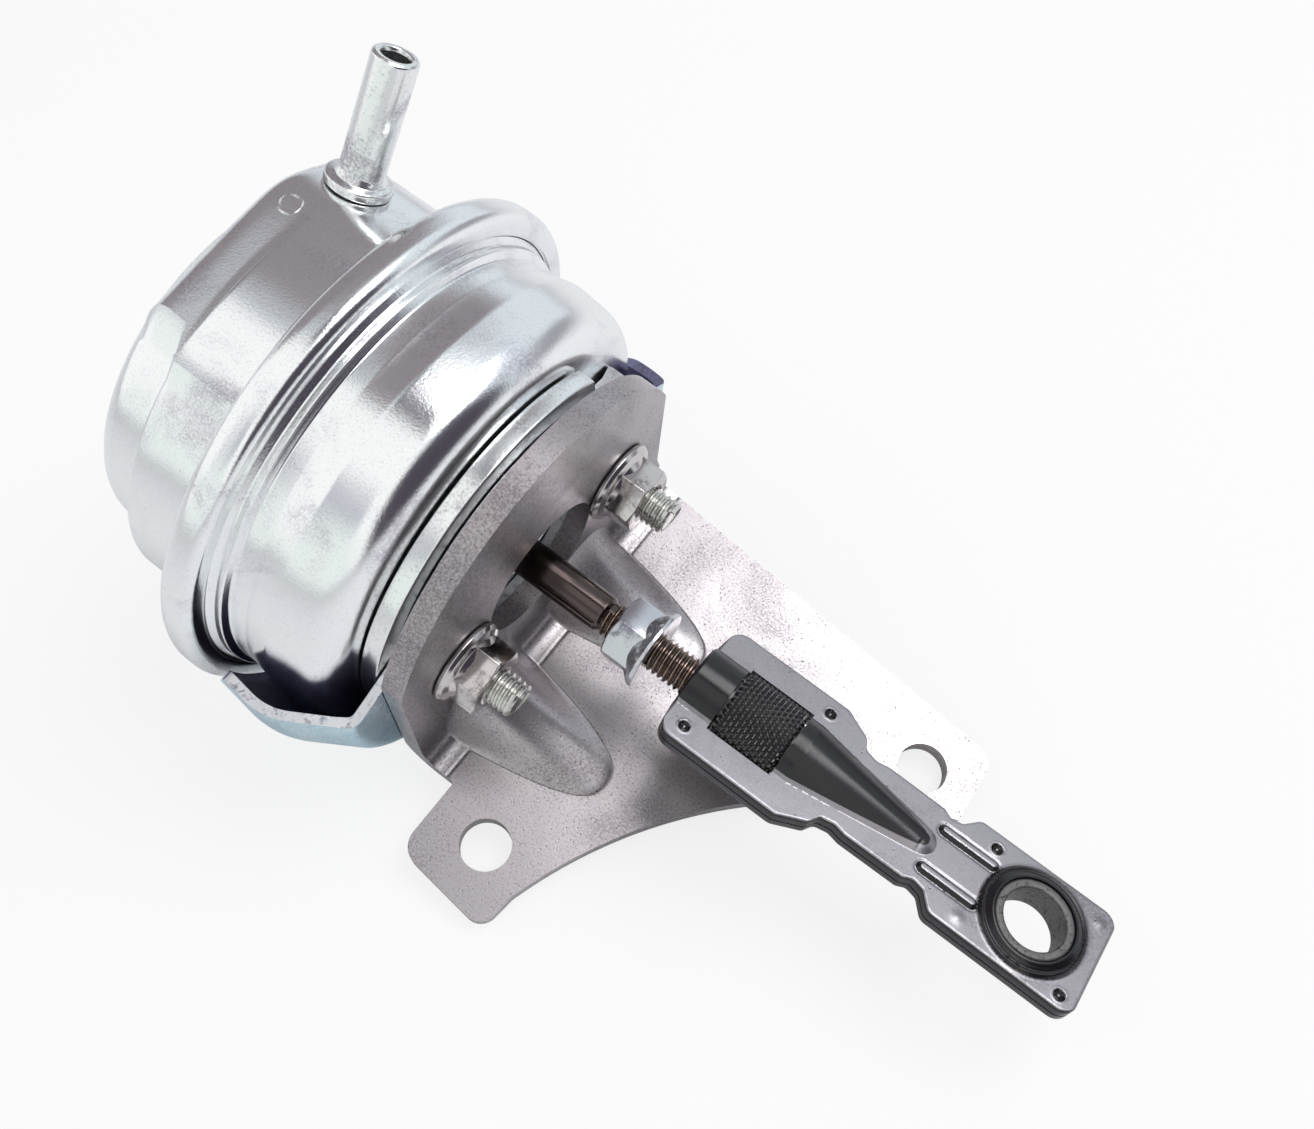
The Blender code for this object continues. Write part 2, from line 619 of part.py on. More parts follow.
def make_piston(parent):
    """Turns the piston cup, the retainer plate and the washer that the rod's rivet clamps."""
    cup = rounded(
        [
            (CROWN_FACE - PISTON_DEPTH, PISTON_RADIUS),
            (CROWN_FACE, PISTON_RADIUS, 2.0, 3),
            (CROWN_FACE, ROD_NECK_RADIUS + GAP),
        ]
    )
    turned("piston_cup", sheet_section(cup, -PISTON_WALL), "zinc", parent)
    plate = rounded(
        [
            (RETAINER_FACE + RETAINER_LIP, RETAINER_RADIUS),
            (RETAINER_FACE, RETAINER_RADIUS - RETAINER_LIP, 1.2, 2),
            (RETAINER_FACE, ROD_NECK_RADIUS + GAP),
        ]
    )
    turned("retainer_plate", sheet_section(plate, -PISTON_WALL), "zinc", parent)
    washer = [
        (WASHER_FACE, ROD_NECK_RADIUS + GAP),
        (WASHER_FACE, RIVET_WASHER_RADIUS),
        (WASHER_FACE - RIVET_WASHER_THICK, RIVET_WASHER_RADIUS),
        (WASHER_FACE - RIVET_WASHER_THICK, ROD_NECK_RADIUS + GAP),
    ]
    turned("rivet_washer", washer, "zinc", parent, SMALL_STEPS)


def make_rod(parent):
    """Turns the rod, from its riveted end to its threaded end. The fine thread stands at its mean radius."""
    section = [
        (RIVET_FACE - RIVET_HEIGHT, 0.0),
        (RIVET_FACE - RIVET_HEIGHT, RIVET_RADIUS - 0.8),
        (RIVET_FACE - RIVET_HEIGHT * 0.5, RIVET_RADIUS),
        (RIVET_FACE, RIVET_RADIUS),
        (RIVET_FACE, ROD_NECK_RADIUS),
        (RETAINER_FACE + GAP, ROD_NECK_RADIUS),
        (RETAINER_FACE + GAP, ROD_RADIUS),
        (ROD_THREAD_START - 0.3, ROD_RADIUS),
        (ROD_THREAD_START, ROD_THREAD_RADIUS),
        (ROD_END - ROD_END_CHAMFER, ROD_THREAD_RADIUS),
        (ROD_END, ROD_THREAD_RADIUS - ROD_END_CHAMFER),
        (ROD_END, 0.0),
    ]
    return turned("rod", section, "dark_steel", parent, SMALL_STEPS)


def make_spring(parent):
    """Winds the return spring between the seat and the piston's crown."""
    wire = SPRING_WIRE / 2
    start = SEAT_BACK + SEAT_THICK + wire + GAP
    end = CROWN_BACK - wire - GAP
    count = int(SPRING_TURNS * SPRING_POINTS)
    curve = bpy.data.curves.new("return_spring", "CURVE")
    curve.dimensions = "3D"
    curve.bevel_depth = wire * MM
    curve.bevel_resolution = 1
    curve.use_fill_caps = True
    spline = curve.splines.new("POLY")
    spline.points.add(count)
    for index, point in enumerate(spline.points):
        share = index / count
        turn = 2 * math.pi * SPRING_TURNS * share
        rise = (1 - math.cos(math.pi * share)) / 2 * 0.3 + share * 0.7
        x = start + (end - start) * rise
        place = (x, SPRING_RADIUS * math.cos(turn), SPRING_RADIUS * math.sin(turn))
        point.co = (*[value * MM for value in place], 1.0)
    curve.materials.append(finish("spring_steel"))
    spring = bpy.data.objects.new("return_spring", curve)
    bpy.context.scene.collection.objects.link(spring)
    spring.parent = parent
    seat = rounded(
        [
            (SEAT_BACK + SEAT_THICK, SEAT_RADIUS),
            (SEAT_BACK + SEAT_THICK, SEAT_HUB_RADIUS, 0.8, 2),
            (SEAT_BACK + SEAT_THICK + SEAT_HUB_HEIGHT, SEAT_HUB_RADIUS - 0.6, 0.8, 2),
            (SEAT_BACK + SEAT_THICK + SEAT_HUB_HEIGHT, SEAT_HUB_RADIUS - 5.0),
        ]
    )
    turned("spring_seat", sheet_section(seat, -SEAT_THICK), "zinc", parent)


def make_guide(parent):
    """Turns the guide cup, the bush and the seal that carry the rod."""
    cup = [
        (GUIDE_BACK, GUIDE_BORE + GAP),
        (GUIDE_BACK, GUIDE_BODY_RADIUS),
        (COVER_INNER_FACE - GAP - GUIDE_FLANGE_THICK, GUIDE_BODY_RADIUS),
        (COVER_INNER_FACE - GAP - GUIDE_FLANGE_THICK, GUIDE_FLANGE_RADIUS),
        (COVER_INNER_FACE - GAP, GUIDE_FLANGE_RADIUS),
        (COVER_INNER_FACE - GAP, GUIDE_BODY_RADIUS),
        (GUIDE_FRONT - 0.5, GUIDE_BODY_RADIUS),
        (GUIDE_FRONT, GUIDE_BODY_RADIUS - 0.5),
        (GUIDE_FRONT, ROD_RADIUS + GAP),
        (GUIDE_FRONT - GUIDE_LIP, ROD_RADIUS + GAP),
        (GUIDE_FRONT - GUIDE_LIP, GUIDE_BORE + GAP),
    ]
    turned("guide_cup", cup, "zinc", parent, SMALL_STEPS)
    bush_back = GUIDE_BACK + GAP / 2
    bush = [
        (bush_back, ROD_HOLE_RADIUS),
        (bush_back, GUIDE_BORE),
        (bush_back + BUSH_LENGTH, GUIDE_BORE),
        (bush_back + BUSH_LENGTH, ROD_HOLE_RADIUS),
    ]
    turned("guide_bush", bush, "bronze", parent, SMALL_STEPS)
    seal_back = bush_back + BUSH_LENGTH + GAP
    seal_front = GUIDE_FRONT - GUIDE_LIP - GAP
    seal = [
        (seal_back, ROD_HOLE_RADIUS + 0.6),
        (seal_back, GUIDE_BORE),
        (seal_front, GUIDE_BORE),
        (seal_front, ROD_HOLE_RADIUS),
        ((seal_back + seal_front) / 2, ROD_HOLE_RADIUS),
    ]
    turned("rod_seal", seal, "rubber", parent, SMALL_STEPS)


def make_stud_plate(parent):
    """Turns the flat plate between the front cover and the shield."""
    section = [
        (STUD_PLATE_BACK, STUD_PLATE_HOLE),
        (STUD_PLATE_BACK, STUD_PLATE_RADIUS),
        (STUD_PLATE_FACE - 0.4, STUD_PLATE_RADIUS),
        (STUD_PLATE_FACE, STUD_PLATE_RADIUS - 0.4),
        (STUD_PLATE_FACE, STUD_PLATE_HOLE),
    ]
    plate = turned("stud_plate", section, "zinc", parent)
    for side, place in stud_places():
        boolean(plate, "DIFFERENCE", drill(f"plate_hole_{side}", place, STUD_RADIUS + STUD_CLEARANCE, -12, 2, "X", parent))
    far = STUD_PLATE_RADIUS + 3.0
    notch = [
        (STUD_PLATE_NOTCH_SIDE, STUD_PLATE_NOTCH_BASE),
        (far, STUD_PLATE_NOTCH_BASE - 3.0),
        (far, far),
        (STUD_PLATE_NOTCH_SIDE - 1.0, far),
    ]
    low, high = STUD_PLATE_BACK - 1.0, STUD_PLATE_FACE + 1.0
    boolean(plate, "DIFFERENCE", prism("plate_notch", notch, low, high, "X", parent=parent))


def make_studs_and_nuts(parent):
    """Makes both studs, whose heads stand inside the front cover, and the nuts that hold the bracket."""
    for side, (y, z) in stud_places():
        section = [
            (STUD_HEAD_FACE - STUD_HEAD_THICK, 0.0),
            (STUD_HEAD_FACE - STUD_HEAD_THICK, STUD_HEAD_RADIUS),
            (STUD_HEAD_FACE, STUD_HEAD_RADIUS),
            (STUD_HEAD_FACE, STUD_RADIUS),
            (STUD_TIP - STUD_CHAMFER, STUD_RADIUS),
            (STUD_TIP, STUD_RADIUS - STUD_CHAMFER),
            (STUD_TIP, 0.0),
        ]
        stud = turned(f"stud_{side}", section, "zinc", parent, 20)
        stud.location = (0.0, y * MM, z * MM)
        radii = (STUD_RADIUS, NUT_FLANGE_RADIUS)
        hex_flange_nut(f"flange_nut_{side}", GAP, NUT_HEIGHT, 1, radii, "zinc", parent, (y, z))


def make_heat_shield(parent):
    """Presses the shield: a flat tab behind the flange and a flared skirt round the lower half."""
    skirt_end = RIM_FRONT + SHIELD_RIM_CLEARANCE
    outer = rounded(
        [
            (SHIELD_FACE, SHIELD_HOLE),
            (SHIELD_FACE, SHIELD_CORNER_RADIUS, SHIELD_CORNER_FILLET, 3),
            (SHIELD_FACE - SHIELD_BELLY_LENGTH, SHIELD_BELLY_RADIUS, SHIELD_BELLY_FILLET, 4),
            (skirt_end, SHIELD_END_RADIUS),
        ]
    )
    shield = turned("heat_shield", sheet_section(outer, SHIELD_THICK), "shield_steel", parent, 48)
    far = SHIELD_BELLY_RADIUS + 10.0
    tab = arc((0, 0), SHIELD_TAB_RADIUS, SHIELD_TAB_ANGLE, 180 - SHIELD_TAB_ANGLE, 11)
    corner = SHIELD_CORNER_RADIUS
    above = [(far, SHIELD_RIGHT_CUT), (far, far), (-far, far), (-far, SHIELD_LEFT_CUT)]
    above += [(-corner, SHIELD_LEFT_CUT)] + tab[::-1] + [(corner, SHIELD_RIGHT_CUT)]
    for side, place in stud_places():
        hole = drill(f"shield_hole_{side}", place, STUD_RADIUS + STUD_CLEARANCE, -12.0, 2.0, "X", parent)
        boolean(shield, "DIFFERENCE", hole)
    cut = prism("shield_cut", above, skirt_end - 5.0, SHIELD_FACE + 3.0, "X", parent=parent)
    back = skirt_end - 5.0
    drop = (SHIELD_FACE - back) * SHIELD_RIGHT_SLOPE
    relief = [(SHIELD_FACE - 0.1, SHIELD_RIGHT_CUT), (back, SHIELD_RIGHT_CUT - drop), (back, far), (SHIELD_FACE - 0.1, far)]
    right = prism("shield_relief", relief, SHIELD_CORNER_RADIUS * 0.85, far, "Y", parent=parent)
    edge = SHIELD_FACE - SHIELD_LEFT_EDGE
    fall = (edge - back) * SHIELD_LEFT_SLOPE
    slant = [(edge, SHIELD_LEFT_CUT), (back, SHIELD_LEFT_CUT - fall), (back, far), (edge, far)]
    left = prism("shield_slant", slant, -far, -SHIELD_CORNER_RADIUS * 0.5, "Y", parent=parent)
    boolean(shield, "DIFFERENCE", cut, right, left)


def gusset_share(y):
    """Returns how far the gussets are raised at y, from 0 on the plain bend to 1 on a crest."""
    best = 0.0
    for centre, half_width in (
        (LEFT_GUSSET_CENTRE, LEFT_GUSSET_HALF_WIDTH),
        (RIGHT_GUSSET_CENTRE, RIGHT_GUSSET_HALF_WIDTH),
    ):
        best = max(best, 1 - min(abs(y - centre) / half_width, 1.0) ** GUSSET_CREST)
    return best


def bend_path(y, segments=9):
    """Returns the inner face's path in X and Z from the flange to the foot, at one y."""
    share = gusset_share(y)
    height = BEND_RADIUS + (GUSSET_HEIGHT - BEND_RADIUS) * share
    length = BEND_RADIUS + (GUSSET_LENGTH - BEND_RADIUS) * share
    start = Vector((0.0, -ROD_ABOVE_FOOT + height))
    end = Vector((length, -ROD_ABOVE_FOOT))
    corner = Vector((0.0, -ROD_ABOVE_FOOT)).lerp((start + end) / 2, GUSSET_FULLNESS * share)
    points = []
    for step in range(segments + 1):
        t = step / segments
        points.append(start * (1 - t) ** 2 + corner * (2 * t * (1 - t)) + end * t**2)
    return points


def foot_outline():
    """Returns the foot's outline from above: the flange's root, the far edge, the scallop and the ear."""
    tip, ear = Vector(SCALLOP_TIP), Vector(SCALLOP_EAR)
    half_chord = (ear - tip).length / 2
    radius = (half_chord**2 + SCALLOP_DEPTH**2) / (2 * SCALLOP_DEPTH)
    along = (ear - tip).normalized()
    centre = (tip + ear) / 2 - Vector((along.y, -along.x)) * (radius - SCALLOP_DEPTH)
    ends = [math.degrees(math.atan2(point.y - centre.y, point.x - centre.x)) for point in (tip, ear)]
    scallop = arc(centre, radius, *ends, SCALLOP_STEPS)
    corners = [
        (-FLANGE_THICK * 3, -FLANGE_HALF_WIDTH),
        (-FLANGE_THICK * 3, FAR_EDGE_ROOT),
        (BEND_RADIUS, FAR_EDGE_ROOT),
        (FOOT_TIP - 0.6, FAR_EDGE_TIP, FOOT_CORNER, 4),
    ]
    corners += scallop
    corners += [
        (EAR_FRONT, EAR_END, EAR_CORNER * 0.8, 4),
        (EAR_SIDE, EAR_END + EAR_SKEW, EAR_CORNER, 4),
        (EAR_SIDE, -FLANGE_HALF_WIDTH, 0.6, 2),
    ]
    return rounded(corners, closed=True)


def flange_outline():
    """Returns the flange's outline from the front, wide enough below for the whole foot."""
    shoulder = math.degrees(math.acos(FLANGE_HALF_WIDTH / FLANGE_RADIUS))
    top = arc((0, 0), FLANGE_RADIUS, shoulder, 180 - shoulder, 24)
    wide = abs(EAR_END) + 8.0
    low = -ROD_ABOVE_FOOT - 3 * FOOT_THICK
    root = -ROD_ABOVE_FOOT + BEND_RADIUS + 2.0
    outline = [(wide, low), (wide, root), (FAR_EDGE_ROOT, root), (FLANGE_HALF_WIDTH, root + 3.0)]
    outline += top
    outline += [(-FLANGE_HALF_WIDTH, root), (-wide, root), (-wide, low)]
    return outline


def make_bracket(parent):
    """Presses the bracket from one sheet: flange, bend with two gussets, and foot."""
    between = (LEFT_GUSSET_CENTRE + LEFT_GUSSET_HALF_WIDTH + RIGHT_GUSSET_CENTRE - RIGHT_GUSSET_HALF_WIDTH) / 2
    lines = {EAR_END - 6.6, -FLANGE_HALF_WIDTH - 5.0, -FLANGE_HALF_WIDTH + 1.0, between}
    lines |= {FLANGE_HALF_WIDTH - 6.0, FLANGE_HALF_WIDTH, FAR_EDGE_ROOT + 8.2}
    for centre, half in (
        (LEFT_GUSSET_CENTRE, LEFT_GUSSET_HALF_WIDTH),
        (RIGHT_GUSSET_CENTRE, RIGHT_GUSSET_HALF_WIDTH),
    ):
        for share in (0.0, 0.3, 0.55, 0.75, 0.9, 1.0):
            lines |= {round(centre + half * share, 4), round(centre - half * share, 4)}
    bm = bmesh.new()
    rows = []
    for y in sorted(lines):
        path = [Vector((0.0, FLANGE_RADIUS + 6.0))] + bend_path(y) + [Vector((FOOT_TIP + 10.0, -ROD_ABOVE_FOOT))]
        rows.append([bm.verts.new((point.x, y, point.y)) for point in path])
    for near, far in zip(rows, rows[1:]):
        for index in range(len(near) - 1):
            bm.faces.new((near[index], near[index + 1], far[index + 1], far[index]))
    bracket = add_object("bracket", bm, "tumbled_steel", parent)
    toward_rod = sum(polygon.normal.z * polygon.area for polygon in bracket.data.polygons)
    solidify = bracket.modifiers.new("sheet", "SOLIDIFY")
    solidify.thickness = (FOOT_THICK + TRIM_ALLOWANCE) * MM
    solidify.offset = -1.0 if toward_rod > 0 else 1.0
    solidify.use_even_offset = True
    deep = (-FLANGE_THICK, FOOT_TIP + 5.0)
    underside = -ROD_ABOVE_FOOT - FOOT_THICK
    foot = prism("foot_trim", foot_outline(), underside, FLANGE_RADIUS + 3.0, "Z", parent=parent)
    flange = prism("flange_trim", flange_outline(), *deep, "X", parent=parent)
    boolean(bracket, "INTERSECT", foot, flange)
    boolean(bracket, "DIFFERENCE", drill("rod_window", (0, 0), FLANGE_HOLE_RADIUS, -10, 10, "X", parent, STEPS))
    for side, place in stud_places():
        hole = drill(f"flange_hole_{side}", place, STUD_RADIUS + STUD_CLEARANCE, -10.0, 10.0, "X", parent)
        boolean(bracket, "DIFFERENCE", hole)
    for side, place in (("left", LEFT_HOLE), ("right", RIGHT_HOLE)):
        boolean(bracket, "DIFFERENCE", drill(f"foot_hole_{side}", place, FOOT_HOLE_RADIUS, -40, 0, "Z", parent))
    return bracket


def link_outline():
    """Returns the outline of a link plate, from the mouth to the eye."""
    half = [
        (LINK_MOUTH, LINK_TUBE_RADIUS + 0.3),
        (LINK_MOUTH + 0.5, MOUTH_HALF_WIDTH, LINK_CORNER, 3),
        (MOUTH_FLAT_END, MOUTH_HALF_WIDTH, 1.5, 2),
        (MOUTH_FLAT_END + 3.8, MOUTH_HALF_WIDTH - 2.0, 1.2, 2),
        (WAIST_START, WAIST_HALF_WIDTH, 1.2, 2),
        (WAIST_END, WAIST_HALF_WIDTH - 0.4, 1.2, 2),
        (EYE_FLAT_START, EYE_HALF_WIDTH, 1.2, 2),
        (LINK_END, EYE_HALF_WIDTH, LINK_CORNER, 3),
    ]
    other = [(corner[0], -corner[1], *corner[2:]) for corner in reversed(half)]
    return rounded(half + other, closed=True)


def make_link_plate(name, side, parent):
    """Presses one plate of the link: a flat blade with half of the tube and cone raised on it."""
    low = LINK_PART_GAP
    high = LINK_PART_GAP + LINK_PLATE_THICK
    place = add_empty(f"{name}_place", (0, 0, 0), parent, 0.0 if side > 0 else math.pi)
    plate = prism(name, link_outline(), low - 1.0, high, "Z", "black_steel", place)
    inside = LINK_TUBE_RADIUS - LINK_TUBE_WALL
    shell = rounded(
        [
            (LINK_MOUTH, 0.0),
            (LINK_MOUTH, LINK_TUBE_RADIUS, 0.4, 1),
            (LINK_CONE_START, LINK_TUBE_RADIUS, 6.0, 3),
            (LINK_TIP, LINK_TIP_RADIUS + LINK_PLATE_THICK, 1.2, 2),
            (LINK_TIP + 0.6, 0.0),
        ]
    )
    hollow = [
        (LINK_MOUTH - 1.0, 0.0),
        (LINK_MOUTH - 1.0, inside),
        (LINK_CONE_START, inside),
        (LINK_TIP - 2.5, LINK_TIP_RADIUS * 0.6),
        (LINK_TIP - 2.5, 0.0),
    ]
    window_start = ADJUSTER_START - ADJUSTER_END_CLEARANCE
    window_end = ADJUSTER_END + ADJUSTER_END_CLEARANCE
    window_half = ADJUSTER_RADIUS + 0.35
    window = [
        (window_start, -window_half),
        (window_end, -window_half),
        (window_end, window_half),
        (window_start, window_half),
    ]
    boolean(plate, "UNION", turned(f"{name}_shell", shell, "black_steel", place, STEPS))
    collar = drill(f"{name}_collar", (EYE_CENTRE, 0.0), EYE_COLLAR_RADIUS, low - 1.5, high + EYE_COLLAR_HEIGHT, "Z", place)
    boolean(plate, "UNION", collar)
    for hand in (-1, 1):
        width = LINK_RIB_WIDTH / 2
        start = arc((LINK_RIB_START, hand * LINK_RIB_OFFSET), width, 90, 270, 5)
        end = arc((LINK_RIB_END, hand * LINK_RIB_OFFSET), width, -90, 90, 5)
        rib = prism(f"{name}_rib_{hand + 1}", start + end, low - 0.5, high + LINK_RIB_HEIGHT, "Z", parent=place)
        boolean(plate, "UNION", rib)
    boolean(plate, "DIFFERENCE", turned(f"{name}_hollow", hollow, "black_steel", place, STEPS))
    boolean(plate, "DIFFERENCE", prism(f"{name}_window", window, -12.0, 12.0, "Z", parent=place))
    eye = drill(f"{name}_eye", (EYE_CENTRE, 0.0), EYE_BUSH_RADIUS + GAP, -5.0, 5.0, "Z", place, STEPS)
    far = LINK_END + 10.0
    below = prism(f"{name}_below", [(0, -20), (far, -20), (far, 20), (0, 20)], -20.0, low, "Z", parent=place)
    boolean(plate, "DIFFERENCE", eye, below)
    return plate


def make_link(parent):
    """Makes both link plates, the adjuster between them and the bush in the eye."""
    carrier = add_empty("link_axis", (0, 0, 0), parent, LINK_ROLL)
    make_link_plate("link_upper_plate", 1, carrier)
    make_link_plate("link_lower_plate", -1, carrier)
    bore = ROD_THREAD_RADIUS + NUT_THREAD_CLEARANCE
    journal_start = LINK_MOUTH + 1.0
    journal_end = LINK_CONE_START - 0.5
    adjuster = [
        (journal_start, bore),
        (journal_start, JOURNAL_RADIUS),
        (ADJUSTER_START, JOURNAL_RADIUS),
        (ADJUSTER_START, ADJUSTER_RADIUS - ADJUSTER_CHAMFER),
        (ADJUSTER_START + ADJUSTER_CHAMFER, ADJUSTER_RADIUS),
        (ADJUSTER_END - ADJUSTER_CHAMFER, ADJUSTER_RADIUS),
        (ADJUSTER_END, ADJUSTER_RADIUS - ADJUSTER_CHAMFER),
        (ADJUSTER_END, JOURNAL_RADIUS),
        (journal_end, JOURNAL_RADIUS),
        (journal_end, bore),
    ]
    turned("knurled_adjuster", adjuster, "black_steel", carrier)
    bush = [
        (-EYE_BUSH_HALF_LENGTH, EYE_BORE_RADIUS + 0.3),
        (-EYE_BUSH_HALF_LENGTH, EYE_BUSH_RADIUS),
        (EYE_BUSH_HALF_LENGTH, EYE_BUSH_RADIUS),
        (EYE_BUSH_HALF_LENGTH, EYE_BORE_RADIUS + 0.3),
        (EYE_BUSH_HALF_LENGTH - 0.3, EYE_BORE_RADIUS),
        (-EYE_BUSH_HALF_LENGTH + 0.3, EYE_BORE_RADIUS),
    ]
    eye_bush = turned("eye_bush", bush, "sintered", carrier, 32)
    eye_bush.location = (EYE_CENTRE * MM, 0.0, 0.0)
    eye_bush.rotation_euler = (0.0, math.radians(-90), 0.0)


def main():
    clear_scene()
    carrier = add_empty("rod_axis", (-FLANGE_BEHIND_ORIGIN, 0.0, ROD_ABOVE_FOOT + FOOT_THICK))
    make_rear_cover(carrier)
    make_nipple(carrier)
    make_front_cover(carrier)
    make_diaphragm(carrier)
    make_piston(carrier)
    make_rod(carrier)
    make_spring(carrier)
    make_guide(carrier)
    make_stud_plate(carrier)
    make_studs_and_nuts(carrier)
    make_heat_shield(carrier)
    make_bracket(carrier)
    jam_radii = (ROD_THREAD_RADIUS, JAM_NUT_FLANGE_RADIUS)
    hex_flange_nut("jam_nut", JAM_NUT_BACK + JAM_NUT_HEIGHT, JAM_NUT_HEIGHT, -1, jam_radii, "zinc", carrier)
    make_link(carrier)


main()
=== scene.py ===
"""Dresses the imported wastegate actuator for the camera.

Each sub-assembly is a class with its sizes in millimetres, in the canister's own frame: X runs along the
rod from the front face of the bracket's flange, and Y and Z are measured from the rod's axis.
"""

from __future__ import annotations

import json
import logging
import math
from dataclasses import dataclass
from enum import Enum
from typing import Mapping, Sequence

import bpy
import numpy as np
from mathutils import Matrix, Vector

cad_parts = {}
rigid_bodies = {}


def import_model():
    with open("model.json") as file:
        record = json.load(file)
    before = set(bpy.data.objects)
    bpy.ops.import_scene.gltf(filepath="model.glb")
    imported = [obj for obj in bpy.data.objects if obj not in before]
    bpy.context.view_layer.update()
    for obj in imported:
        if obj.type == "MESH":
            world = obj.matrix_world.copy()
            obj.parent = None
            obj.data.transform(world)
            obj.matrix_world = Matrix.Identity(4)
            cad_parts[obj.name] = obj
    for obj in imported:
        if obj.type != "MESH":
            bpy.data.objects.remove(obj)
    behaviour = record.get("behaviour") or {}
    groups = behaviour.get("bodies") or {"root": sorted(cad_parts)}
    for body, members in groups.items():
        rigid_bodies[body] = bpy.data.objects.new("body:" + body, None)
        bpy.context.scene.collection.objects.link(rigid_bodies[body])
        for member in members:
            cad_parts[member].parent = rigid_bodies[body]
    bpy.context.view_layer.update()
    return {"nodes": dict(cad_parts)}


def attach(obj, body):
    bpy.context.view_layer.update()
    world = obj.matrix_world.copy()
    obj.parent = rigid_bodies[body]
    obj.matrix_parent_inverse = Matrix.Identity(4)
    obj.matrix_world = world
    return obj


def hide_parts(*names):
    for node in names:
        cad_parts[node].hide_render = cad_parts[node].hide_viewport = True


Piece = bpy.types.Object
Point = tuple[float, float]
Triple = tuple[float, float, float]
Colour = Triple
Corners = Sequence[Sequence[float]]

LOG = logging.getLogger("actuator")
MM, METRE = 0.001, 1000.0
AXIS_HEIGHT = 0.0222  # of the rod's axis in the frame, in metres
LINK_ROLL = 0.31  # of the link about the rod, in radians
LINK_MIDDLE = AXIS_HEIGHT * math.cos(LINK_ROLL)
ON_AXIS = Matrix.Translation((-0.025, 0.0, AXIS_HEIGHT)) @ Matrix.Scale(MM, 4)
ON_LINK = ON_AXIS @ Matrix.Rotation(-LINK_ROLL, 4, "X")
DOUBLES = 1e-4  # the distance below which two points are one
PITCH = 0.8  # of the M5 threads
STUDS = (-15.1, 15.1)  # the places of the two studs along Y
STUD_HOLE = 2.75  # the radius of the holes that they pass
BLACK: Colour = (0.008, 0.007, 0.009)


class Body(Enum):
    """The bodies of the frame that a piece can ride on."""

    HOUSING = "housing"
    ROD = "rod"
    LINK = "link"
    ADJUSTER = "adjuster"


class Cut(Enum):
    """What a Boolean does to a piece."""

    TAKE = "DIFFERENCE"
    KEEP = "INTERSECT"


@dataclass(frozen=True)
class Wire:
    """The output of a node, on which Python's operators add Math nodes."""

    mixer: Mixer
    socket: bpy.types.NodeSocket | None

    def maths(self, operation: str, *values: Wire | float) -> Wire:
        """Adds a Math node on the values."""
        return self.mixer.node("Math", dict(enumerate(values)), {"operation": operation})

    def __add__(self, other: Wire | float) -> Wire:
        """Adds a wire or a number."""
        return self.maths("ADD", self, other)

    def __sub__(self, other: Wire | float) -> Wire:
        """Takes away a wire or a number."""
        return self.maths("SUBTRACT", self, other)

    def __rsub__(self, other: float) -> Wire:
        """Takes the wire away from a number."""
        return self.maths("SUBTRACT", other, self)

    def __mul__(self, other: Wire | float) -> Wire:
        """Multiplies by a wire or a number."""
        return self.maths("MULTIPLY", self, other)

    def band(self, low: float, high: float) -> Wire:
        """Goes smoothly from 0 at the low value to 1 at the high one."""
        values = {"Value": self, "From Min": low, "From Max": high}
        return self.mixer.node("MapRange", values, {"interpolation_type": "SMOOTHSTEP"})


@dataclass(frozen=True)
class Mixer:
    """A material or a world whose nodes are added one by one."""

    tree: bpy.types.NodeTree

    def node(
        self,
        kind: str,
        values: Mapping[str | int, object] | None = None,
        settings: Mapping[str, object] | None = None,
        output: str | int = 0,
    ) -> Wire:
        """Adds a node.

        Args:
            kind: The node's type, without the leading ShaderNode.
            values: The values or wires of its sockets.
            settings: Its properties, which are set first.
            output: The output that the wire stands for.

        Returns:
            The node's output as a wire.
        """
        made = self.tree.nodes.new(f"ShaderNode{kind}")
        for name, value in (settings or {}).items():
            setattr(made, name, value)
        for name, value in (values or {}).items():
            if isinstance(value, Wire):
                self.tree.links.new(value.socket, made.inputs[name])
            else:
                made.inputs[name].default_value = value
        return Wire(self, made.outputs[output] if len(made.outputs) else None)

    def place(self, stretch: Triple = (1, 1, 1)) -> Wire:
        """Returns the piece's own coordinates, stretched."""
        return self.node("Mapping", {"Vector": self.node("TexCoord", output="Object"), "Scale": stretch})

    def noise(self, size: float, detail: float, warp: float = 0.0, stretch: Triple = (1, 1, 1)) -> Wire:
        """Returns a cloudy pattern.

        Args:
            size: The size of its largest forms in millimetres.
            detail: How many finer layers it holds.
            warp: How far it is twisted.
            stretch: How it is stretched along each axis.

        Returns:
            Its value, about 0.3 to 0.7.
        """
        values = {"Vector": self.place(stretch), "Scale": METRE / size, "Detail": detail}
        return self.node("TexNoise", {**values, "Distortion": warp, "Roughness": 0.6})

    def pits(self, size: float, reach: float) -> Wire:
        """Returns 1 in small round pits that stand about one size apart, and 0 between them."""
        cells = self.node("TexVoronoi", {"Vector": self.place(), "Scale": METRE / size})
        return 1.0 - cells.band(reach * 0.4, reach)

    def blend(self, share: Wire, first: Colour | Wire, second: Colour | Wire) -> Wire:
        """Mixes two colours."""
        colours = [part if isinstance(part, Wire) else (*part, 1.0) for part in (first, second)]
        return self.node("Mix", {"Factor": share, 6: colours[0], 7: colours[1]}, {"data_type": "RGBA"}, output=2)

    def bump(self, height: Wire, depth: float, below: Wire | None = None) -> Wire:
        """Turns a height between 0 and 1 into a bumpy normal, with its depth in millimetres."""
        values = {"Height": height, "Strength": 1.0, "Distance": depth * MM}
        return self.node("Bump", {**values, "Normal": below} if below else values)


